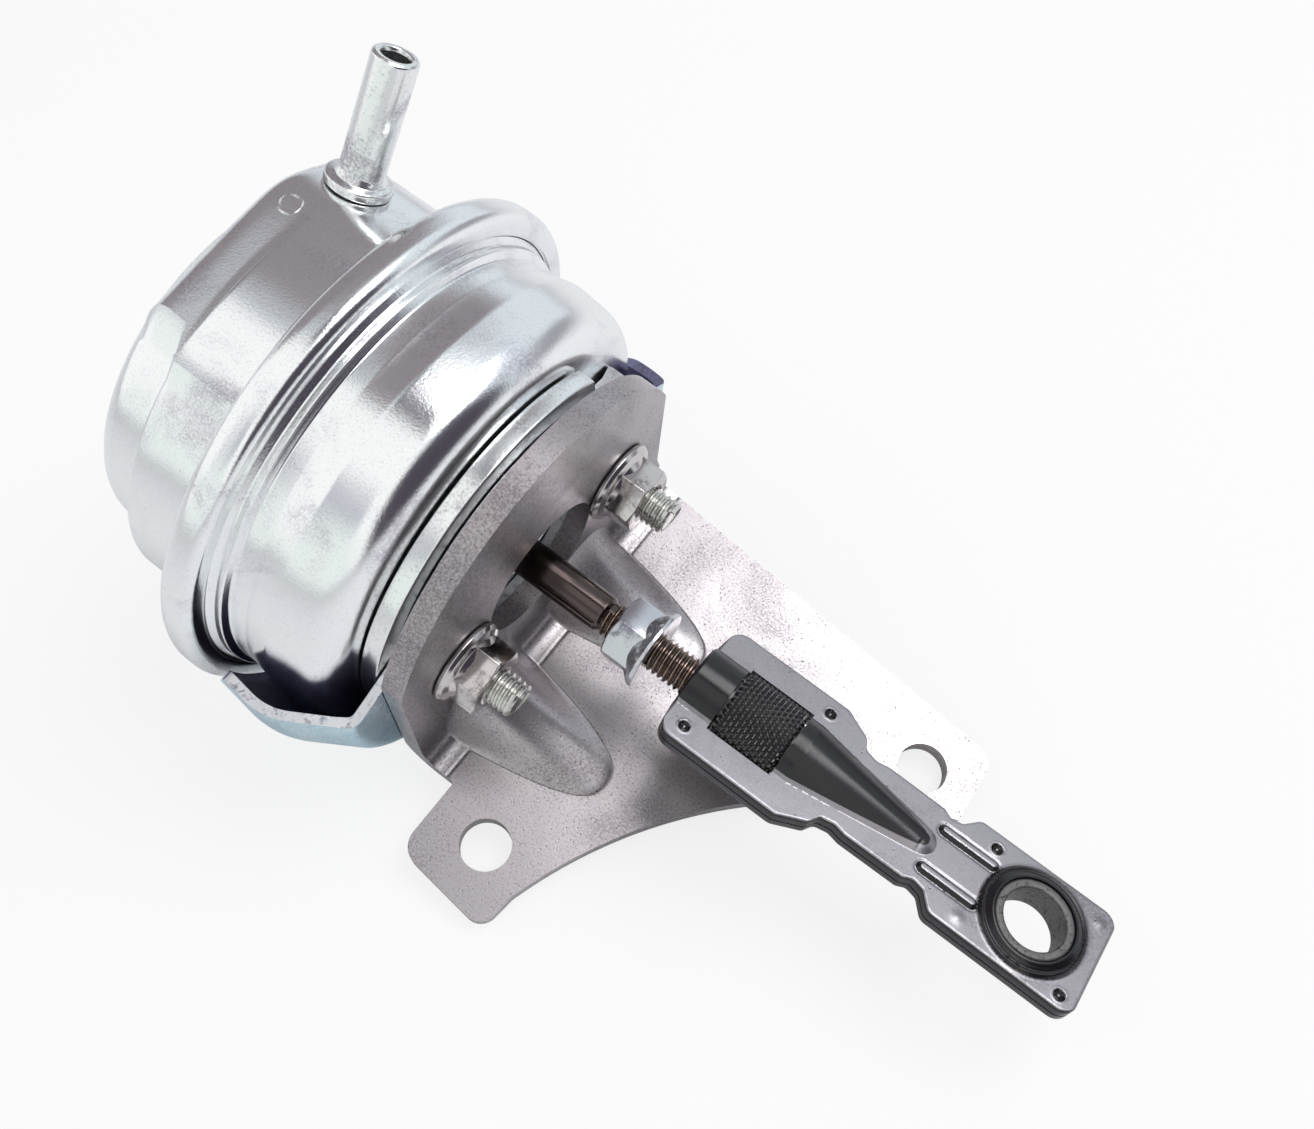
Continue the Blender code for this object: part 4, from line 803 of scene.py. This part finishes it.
@dataclass
class Bracket(Assembly):
    """The pressed bracket: flange, bend with two gussets and foot."""

    sheet: float = 3.0
    rod_above: float = 19.2
    flange_radius: float = 26.3
    flange_half: float = 25.0
    window: float = 9.7
    bend: float = 3.5
    gusset_height: float = 11.0
    gusset_length: float = 21.5
    fullness: float = 0.62
    crest: float = 2.8
    onset: float = 0.12
    gussets: tuple[tuple[float, float], ...] = ((-13.1, 7.5), (7.6, 7.2))
    holes: tuple[Point, ...] = ((13.4, -28.8), (52.9, 14.3))
    hole_radius: float = 3.4
    scallop: Triple = (84.2, -51.0, 66.8)
    scallop_ends: Point = (60.6, 20.2)

    def share(self, y: float) -> float:
        """Returns how far the sheet is raised at y, from 0 on the plain bend to 1 on a gusset's crest."""
        return max(1 - min(abs(y - centre) / half, 1.0) ** self.crest for centre, half in self.gussets)

    def path(self, y: float, segments: int = 28) -> list[Point]:
        """Returns the path of the sheet's inner face at y, as (x, z) points."""
        share = self.share(y)
        share = share**2 / (2 * self.onset) if share < self.onset else share - self.onset / 2
        height = self.bend + (self.gusset_height - self.bend) * share
        length = self.bend + (self.gusset_length - self.bend) * share
        start = Vector((0.0, -self.rod_above + height))
        end = Vector((length, -self.rod_above))
        knee = Vector((0.0, -self.rod_above)).lerp((start + end) / 2, self.fullness * share)
        steps = [step / segments for step in range(segments + 1)]
        curve = [start * (1 - t) ** 2 + knee * (2 * t * (1 - t)) + end * t**2 for t in steps]
        groove = [end + Vector(place) for place in ((0.25, -0.10), (0.55, 0.0), (0.75, 0.0), (1.3, 0.0))]
        return [tuple(point) for point in curve + groove]

    def foot_outline(self) -> Corners:
        """Returns the foot's outline: the far edge, the scallop and the ear."""
        x, y, radius = self.scallop
        places = [(at - x, math.sqrt(radius**2 - (at - x) ** 2)) for at in self.scallop_ends]
        first, last = (math.degrees(math.atan2(v, u)) for u, v in places)
        side = -self.flange_half
        far_edge = [(-9.0, side), (-9.0, 25.8), (self.bend, 25.8), (60.0, 21.4, 2.6)]
        ear = [(19.6, -37.4, 2.4), (5.0, -35.8, 3.0), (5.0, side, 0.6)]
        return far_edge + arc((x, y), radius, first, last, 40) + ear

    def flange_outline(self) -> list[Point]:
        """Returns the flange's outline, wide enough below for the whole foot."""
        turn = math.degrees(math.acos(self.flange_half / self.flange_radius))
        wide, low, root = 46.0, -self.rod_above - 9.0, -self.rod_above + self.bend + 2.0
        outline = [(wide, low), (wide, root), (25.8, root), (self.flange_half, root + 3.0)]
        outline += arc((0, 0), self.flange_radius, turn, 180 - turn, 90)
        return outline + [(-self.flange_half, root), (-wide, root), (-wide, low)]

    def build(self) -> None:
        """Presses the sheet, trims it and drills it."""
        lines = {-44.0, -30.0, -24.0, 19.0, 25.0, 34.0, -2.7, -2.75, -2.65}
        for centre, half in self.gussets:
            for step in range(21):
                spread = math.sin(math.pi / 2 * step / 20)
                lines |= {round(centre + half * spread, 4), round(centre - half * spread, 4)}
        rows = []
        for y in sorted(lines):
            path = [(0.0, 33.0)] + self.path(y) + [(71.0, -self.rod_above)]
            rows.append([(x, y, z) for x, z in path])
        sheet = lay("bracket_pressing", rows)
        up = sum(face.normal.z * face.area for face in sheet.data.polygons)
        apply(sheet, "SOLIDIFY", thickness=self.sheet + 0.2, offset=-1.0 if up > 0 else 1.0, use_even_offset=True)
        under = -self.rod_above - self.sheet
        foot = block("foot", self.foot_outline(), under, 40.0)
        flange = block("flange", self.flange_outline(), -self.sheet, 70.0, "X")
        carve(sheet, Cut.KEEP, foot, flange)
        tools = [bar("window", (0, 0), self.window, -10.0, 10.0, steps=128)]
        tools += [bar("stud_hole", (y, 0), STUD_HOLE, -10.0, 10.0) for y in STUDS]
        tools += [bar("bolt_hole", hole, self.hole_radius, -40.0, 0.0, "Z", 96) for hole in self.holes]
        carve(sheet, Cut.TAKE, *tools)
        self.hand_over(sheet, TUMBLED, "tumbled_steel", ["bracket"], smooth=28.0)


@dataclass
class PullRod(Assembly):
    """The rod with its flutes and thread, and its jam nut."""

    body: Body = Body.ROD
    radius: float = 2.48
    thread_start: float = 10.4
    end: float = 40.0
    flutes: tuple[float, ...] = (150.0, 170.0, 190.0)

    def build(self) -> None:
        """Turns the rod, cuts its flutes and winds its thread."""
        radius, start, end = self.radius, self.thread_start, self.end
        section = [(-16.7, 0.0), (-16.7, 2.4, 0.5), (-16.1, 3.2, 0.4), (-15.5, 3.2), (-15.5, 2.0), (-11.3, 2.0)]
        section += [(-11.3, radius), (start - 0.4, radius, 0.4), (start + 0.1, 2.05), (end - 0.8, 2.05)]
        section += [(end, 1.5), (end, 0.0)]
        shank = spin("rod_shank", section, steps=64)
        tools = []
        for angle in self.flutes:
            groove = [(1.6, -0.22, 0.2), (9.6, -0.22, 0.2), (9.6, 0.22, 0.2), (1.6, 0.22, 0.2)]
            tool = block("groove", groove, radius - 0.14, radius + 1.0)
            tool.data.transform(Matrix.Rotation(math.radians(angle - 90), 4, "X"))
            tools.append(tool)
        carve(shank, Cut.TAKE, *tools)
        self.hand_over(shank, ROD_DARK, "dark_steel", ["rod"])
        thread = helix("rod_thread", start, 27.0, 2.02, 2.46)
        self.hand_over(thread, ROD_THREAD, "dark_steel")
        jam_nut = FlangeNut(Body.ROD, 17.8, height=5.5, facing=-1, flange=5.35, bore=2.42, turn=20.0, finish=NUT_ZINC)
        jam_nut.build("jam_nut")


@dataclass
class EndLink(Assembly):
    """The two stamped plates of the link, and the bush in its eye."""

    body: Body = Body.LINK
    part_gap: float = 0.1
    sheet: float = 1.25
    mouth: float = 23.5
    end: float = 80.1
    tube: float = 4.75
    inside: float = 3.55
    cone_start: float = 39.5
    tip: float = 58.0
    eye: float = 71.5
    window: Triple = (28.55, 37.75, 5.35)
    dimples: tuple[Point, ...] = ((26.4, -6.9), (39.2, 6.9), (64.1, 5.3), (77.8, -5.8))
    bumps: tuple[Point, ...] = ((64.1, -5.6), (78.2, 5.2))
    ribs: Point = (-3.0, 3.0)
    nose: float = 1.9
    inside_end: float = 56.0
    round_off: float = 0.45
    black_collar: float = 6.75
    # painted shade: a black band on each rib's flank and into the groove beside it
    rib_painted_shade: Point = (0.32, 0.80)
    # painted shade: the ring of each dimple's groove is coloured black
    dimple_painted_shade: Point = (0.40, 0.72)
    # painted shade: faces this far below the flat, the plates' rounded borders, are coloured black, which paints out
    # their highlight
    border_painted_shade: float = 0.12
    black_above: float = 1.0

    @property
    def flat(self) -> float:
        """Returns the height of the flat parts of a plate's outer face."""
        return self.part_gap + self.sheet

    def half_width(self) -> list[Point]:
        """Returns the half-width along the link, as (x, half-width) points."""
        corners = [
            (self.mouth, 0.0), (self.mouth, self.tube + 0.3, 0.4), (self.mouth + 0.5, 9.25, 2.0), (40.8, 9.25, 1.6),
            (44.4, 7.4, 0.8), (45.2, 5.9, 1.0), (47.0, 5.5, 1.0), (48.6, 5.85, 1.2), (56.6, 5.75, 1.0),
            (57.8, 5.15, 0.8), (59.3, 5.5, 0.8), (61.0, 7.5, 1.3), (self.end, 7.5, 2.0), (self.end, 0.0),
        ]
        return rounded(corners, detail=10)

    def tube_radius(self, x: np.ndarray) -> np.ndarray:
        """Returns the outer radius of the tube and its cone along the link."""
        fall = np.clip((x - self.cone_start) / (self.tip - 1.5 - self.cone_start), 0, 1)
        cone = self.tube - (self.tube - self.nose) * fall
        nose_start = self.tip - self.nose
        nose = np.sqrt(np.clip(self.nose**2 - np.clip(x - nose_start, 0, None) ** 2, 0, None))
        return np.minimum(cone, np.where(x > nose_start, nose, cone))

    def top(self, x: np.ndarray, v: np.ndarray, edge: np.ndarray) -> np.ndarray:
        """Returns the height of a plate's outer face.

        Args:
            x: The places along the link.
            v: The places across it.
            edge: The distances from the outline.

        Returns:
            The heights above the parting plane.
        """
        radius = self.tube_radius(x)
        tube = np.sqrt(np.clip(radius**2 - v**2, 0, None))
        blend = 0.5
        raised = np.log(np.exp(tube / blend) + np.exp(self.flat / blend)) * blend
        height = np.where(radius > 0.1, np.maximum(raised - 0.02, self.flat), self.flat)
        away = np.hypot(x - self.eye, v)
        height += plateau(0.6, away, 6.6, 0.10)
        height -= ring(0.22, away, 6.05, 0.22)
        height += plateau(0.25, away, 5.45, 0.06)
        for rib in self.ribs:
            away = self.from_rib(x, v, rib)
            height += plateau(0.42, away, 0.5, 0.07) - ring(0.10, away, 0.85, 0.16)
        for dimple in self.dimples:
            away = np.hypot(x - dimple[0], v - dimple[1])
            height += ring(0.05, away, 0.85, 0.12) - plateau(0.4, away, 0.62, 0.05)
            height += ring(0.38, away, 0.0, 0.34)
        for bump in self.bumps:
            height += ring(0.15, np.hypot(x - bump[0], v - bump[1]), 0.0, 0.7)
        near = np.clip(self.round_off - edge, 0, self.round_off)
        return height - (self.round_off - np.sqrt(np.clip(self.round_off**2 - near**2, 0, None)))

    @staticmethod
    def from_rib(x: np.ndarray, v: np.ndarray, rib: float) -> np.ndarray:
        """Returns the distance from the middle line of a rib."""
        return np.hypot(x - np.clip(x, 57.9, 64.6), v - rib)

    def is_gloss_or_painted_shade(self, x: float, v: float, z: float) -> bool:
        """Returns whether a place on the outer face gets the glossy black: the tube's and the collar's own gloss
        black, and painted shade on the ribs' flanks, in the dimples' rings and on the plates' rounded borders.
        """
        near_rib = min(float(self.from_rib(np.float64(x), np.float64(v), rib)) for rib in self.ribs)
        near_dimple = min(math.hypot(x - spot[0], v - spot[1]) for spot in self.dimples)
        return (
            # painted shade on the rounded borders below the flat; the tube's own gloss black above it
            not self.flat - self.border_painted_shade <= z <= self.flat + self.black_above
            or math.hypot(x - self.eye, v) < self.black_collar
            # painted shade along the ribs' flanks and grooves
            or self.rib_painted_shade[0] < near_rib < self.rib_painted_shade[1]
            # painted shade in the ring of each dimple's groove
            or self.dimple_painted_shade[0] < near_dimple < self.dimple_painted_shade[1]
        )

    def plate(self, name: str, node: str, turned_over: bool) -> None:
        """Presses one plate as a closed grid and cuts the adjuster's window and the eye.

        Args:
            name: The name of the piece.
            node: The node that it stands for.
            turned_over: Whether it is the lower plate.
        """
        outline = self.half_width()
        xs = {round(x, 3) for x, _ in outline} | set(np.round(np.arange(self.mouth, self.end, 0.16), 3))
        xs = np.array(sorted(xs))
        xs[0] += 0.001
        wide = np.interp(xs, *zip(*outline))
        near = np.array([0.965, 0.978, 0.99, 0.997])
        share = np.sort(np.concatenate([np.linspace(-1, 1, 141), near, -near]))
        x, v = xs[:, None] + 0 * share, wide[:, None] * share
        edge = np.minimum(np.minimum(wide[:, None] - np.abs(v), x - self.mouth), self.end - x)
        top = self.top(x, v, np.clip(edge, 0, None))
        taper = 1 - np.clip((x - self.cone_start) / (self.inside_end - self.cone_start), 0, 0.85)
        hollow = np.sqrt(np.clip(self.inside**2 - v**2, 0, None)) * (x < self.inside_end) * taper
        under = np.maximum(hollow, self.part_gap)
        layers = np.stack([x, v, top], -1), np.stack([x, v, under], -1)
        rings = [np.concatenate([above, below[::-1], above[:1]]) for above, below in zip(*layers)]
        plate = lay(name, rings)
        edit(plate)
        bpy.ops.mesh.remove_doubles(threshold=DOUBLES)
        bpy.ops.mesh.fill_holes(sides=0)
        close(plate)
        plate.data.materials.append(LINK_SATIN.material())
        plate.data.materials.append(LINK_GLOSS_AND_SHADE.material())
        # faces of gloss black and of painted shade take the second material
        for face in plate.data.polygons:
            face.material_index = int(self.is_gloss_or_painted_shade(*face.center))
        low, high, half = self.window
        window = block("window", [(low, -half), (high, -half), (high, half), (low, half)], -12.0, 12.0)
        eye = bar("eye", (self.eye, 0.0), 5.05, -6.0, 6.0, "Z", 96)
        carve(plate, Cut.TAKE, window, eye)
        if turned_over:
            plate.data.transform(Matrix.Rotation(math.pi, 4, "X"))
        self.hand_over(plate, LINK_SATIN, "black_steel", [node], ON_LINK, smooth=40.0)

    def bush(self) -> None:
        """Turns the sintered bush in the eye."""
        section = [(-2.15, 3.82, 0.3), (-2.15, 4.92, 0.3), (2.15, 4.92, 0.3), (2.15, 3.82, 0.3)]
        bush = spin("sintered_ring", section, steps=96, detail=4)
        bush.data.transform(Matrix.Translation((self.eye, 0, 0)) @ Matrix.Rotation(math.radians(-90), 4, "Y"))
        self.hand_over(bush, BUSH_GREY, "sintered", ["eye_bush"], ON_LINK)

    def build(self) -> None:
        """Builds the link."""
        self.plate("upper_stamping", "link_upper_plate", False)
        self.plate("lower_stamping", "link_lower_plate", True)
        self.bush()


@dataclass
class Adjuster(Assembly):
    """The knurled sleeve between the link's plates."""

    body: Body = Body.ADJUSTER
    start: float = 28.8
    length: float = 8.7
    radius: float = 5.0
    journal: float = 3.43
    bore: float = 2.42
    lines: int = 32
    diamond: float = 1.2
    depth: float = 0.40

    def knurl(self, x: np.ndarray, turn: np.ndarray) -> np.ndarray:
        """Returns the radius of the diamond knurl at each place along and round the sleeve."""
        across, along = turn * self.lines / (2 * math.pi), x / self.diamond
        phases = np.stack([across + along, across - along])
        groove = (np.abs(((phases + 0.5) % 1.0) - 0.5) * 2).min(axis=0)
        ends = np.clip(np.minimum(x, self.length - x) / 0.5, 0, 1)
        return self.radius - self.depth * (1 - np.clip(groove * 1.12, 0, 1)) - 0.45 * (1 - ends)

    def build(self) -> None:
        """Rolls a grid into the knurled sleeve and turns its two journals."""
        turns = np.linspace(0, 2 * math.pi, self.lines * 14 + 1)
        x, turn = np.meshgrid(np.linspace(0, self.length, 118), turns, indexing="ij")
        radius = self.knurl(x, turn)
        radius[0], radius[-1] = self.journal, self.journal
        grid = np.stack([x + self.start, radius * np.cos(turn), radius * np.sin(turn)], -1)
        sleeve = lay("knurled_sleeve", grid)
        edit(sleeve)
        close(sleeve)
        journals = []
        last = self.start + self.length
        for name, low, high in (("mouth_journal", 24.5, self.start + 0.2), ("cone_journal", last - 0.2, 39.0)):
            section = [(low, self.bore), (low, self.journal, 0.3), (high, self.journal), (high, self.bore)]
            journals.append(spin(name, section, steps=64, detail=4))
        piece = join(sleeve, *journals)
        self.hand_over(piece, KNURL_BLACK, "black_steel", ["knurled_adjuster"], ON_LINK, smooth=50.0)


@dataclass
class Studio:
    """The camera, the floor that the part lies on, the soft lamp and the surroundings."""

    eye: Triple = (16.2718, -46.8170, 187.1299)
    right: Triple = (0.797802, 0.600153, 0.057698)
    up: Triple = (-0.578243, 0.734539, 0.355087)
    backward: Triple = (0.170725, -0.316653, 0.933051)
    sensor: float = 36.0
    lens: float = 1418.37 / 1314 * 36.0
    floor_normal: Triple = (-0.1764, 0.1371, 0.9747)
    floor_point: Triple = (35.5, 19.0, -0.05)
    pale: Colour = (0.74, 0.79, 0.84)
    shades: tuple[tuple[Colour, float, float, Colour], ...] = (
        ((-0.766, 0.455, 0.455), 0.74, 0.88, (0.27, 0.245, 0.26)),
        ((0.40, 0.90, -0.15), 0.86, 0.96, (0.36, 0.35, 0.39)),
        ((-0.06, 0.13, 0.99), 0.92, 0.975, (0.15, 0.14, 0.17)),
        ((0.0, -1.0, 0.0), -0.03, 0.03, (1.0, 1.0, 1.0)),
        ((-0.20, -0.75, 0.63), 0.93, 0.985, (0.52, 0.53, 0.58)),
        ((0.0, -1.0, 0.0), 0.70, 0.85, (0.86, 0.91, 0.89)),
        ((0.90, -0.05, 0.43), 0.74, 0.84, (0.07, 0.06, 0.08)),
    )
    lamp_place: Triple = (0.06, 0.21, 0.50)
    lamp_aim: Triple = (-0.02, 0.0, 0.02)
    lamp_size: float = 0.30
    lamp_power: float = 1.3

    def camera(self) -> None:
        """Sets the camera where the photograph was taken from."""
        data = bpy.data.cameras.new("camera")
        data.sensor_fit, data.sensor_width, data.lens = "HORIZONTAL", self.sensor, self.lens
        data.clip_start = 0.01
        camera = bpy.data.objects.new("camera", data)
        bpy.context.scene.collection.objects.link(camera)
        axes = Matrix((self.right, self.up, self.backward)).transposed()
        camera.matrix_world = Matrix.Translation(Vector(self.eye) * MM) @ axes.to_4x4()
        bpy.context.scene.camera = camera

    def floor(self) -> None:
        """Lays the pale floor, whose back isn't seen from below."""
        bpy.ops.object.select_all(action="DESELECT")
        bpy.ops.mesh.primitive_plane_add(size=6.0)
        floor = bpy.context.object
        floor.name = "floor"
        lie = Vector(self.floor_normal).normalized().to_track_quat("Z", "Y").to_matrix().to_4x4()
        floor.matrix_world = Matrix.Translation(Vector(self.floor_point) * MM) @ lie
        material = bpy.data.materials.new("pale_floor")
        material.use_nodes = True
        material.node_tree.nodes.clear()
        mix = Mixer(material.node_tree)
        paper = mix.noise(40.0, 2.0) * 0.01 + 0.90
        lit = mix.node("BsdfDiffuse", {"Color": mix.blend(paper, (0.0, 0.0, 0.0), (0.97, 0.97, 0.98))})
        white = mix.node("Emission", {"Color": (1.0, 1.0, 1.0, 1.0), "Strength": 1.0})
        path = mix.node("LightPath", output="Is Camera Ray")
        seen = mix.node("MixShader", {0: path * 0.8, 1: lit, 2: white})
        gone = mix.node("BsdfTransparent")
        back = mix.node("NewGeometry", output="Backfacing")
        mix.node("OutputMaterial", {"Surface": mix.node("MixShader", {0: back, 1: seen, 2: gone})})
        floor.data.materials.append(material)

    def lamp(self) -> None:
        """Hangs the square soft lamp, which looks at the part."""
        data = bpy.data.lights.new("soft_lamp_0", "AREA")
        data.shape, data.size, data.energy = "SQUARE", self.lamp_size, self.lamp_power
        lamp = bpy.data.objects.new("soft_lamp_0", data)
        bpy.context.scene.collection.objects.link(lamp)
        lamp.location = self.lamp_place
        lamp.rotation_euler = (Vector(self.lamp_aim) - Vector(self.lamp_place)).to_track_quat("-Z", "Y").to_euler()

    def surroundings(self) -> None:
        """Makes the room that the metal reflects, which the camera itself sees as white."""
        world = bpy.data.worlds.new("studio")
        bpy.context.scene.world = world
        world.use_nodes = True
        world.node_tree.nodes.clear()
        mix = Mixer(world.node_tree)
        way = mix.node("TexCoord", output="Generated")
        clouds = mix.node("TexNoise", {"Vector": way, "Scale": 4.0, "Detail": 4.0}) * 0.08 - 0.04
        room: Wire | Colour = self.pale
        for direction, outside, inside, colour in self.shades:
            values = {0: way, 1: tuple(Vector(direction).normalized())}
            toward = mix.node("VectorMath", values, {"operation": "DOT_PRODUCT"}, output="Value") + clouds
            room = mix.blend(toward.band(outside, inside), room, colour)
        seen = mix.blend(mix.node("LightPath", output="Is Camera Ray"), room, (1.0, 1.0, 1.0))
        mix.node("OutputWorld", {"Surface": mix.node("Background", {"Color": seen, "Strength": 1.0})})

    def build(self) -> None:
        """Sets up the studio."""
        self.camera()
        self.floor()
        self.lamp()
        self.surroundings()
        bpy.context.scene.view_settings.view_transform = "Standard"


def dress_inside(nodes: Mapping[str, Piece]) -> None:
    """Gives each inner node that stays its own finish."""
    inside = {"guide_bush": OILED_BRONZE, "return_spring": SPRING_WIRE, "guide_cup": BRUSHED_ZINC}
    inside |= dict.fromkeys(("diaphragm", "rod_seal"), RUBBER)
    inside |= dict.fromkeys(("piston_cup", "retainer_plate", "rivet_washer", "spring_seat"), ZINC_PLAIN)
    for name, finish in inside.items():
        for slot in nodes[name].material_slots:
            slot.material = finish.material()
        LOG.info("%s: dressed", name)


def main() -> None:
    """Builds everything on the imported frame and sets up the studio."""
    logging.basicConfig(level=logging.INFO, format="%(message)s")
    for thing in list(bpy.data.objects):
        bpy.data.objects.remove(thing)
    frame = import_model()
    for assembly in (Canister, FrontStack, HeatShield, Bracket, PullRod, EndLink, Adjuster):
        assembly().build()
    dress_inside(frame["nodes"])
    Studio().build()


if __name__ == "__main__":
    main()
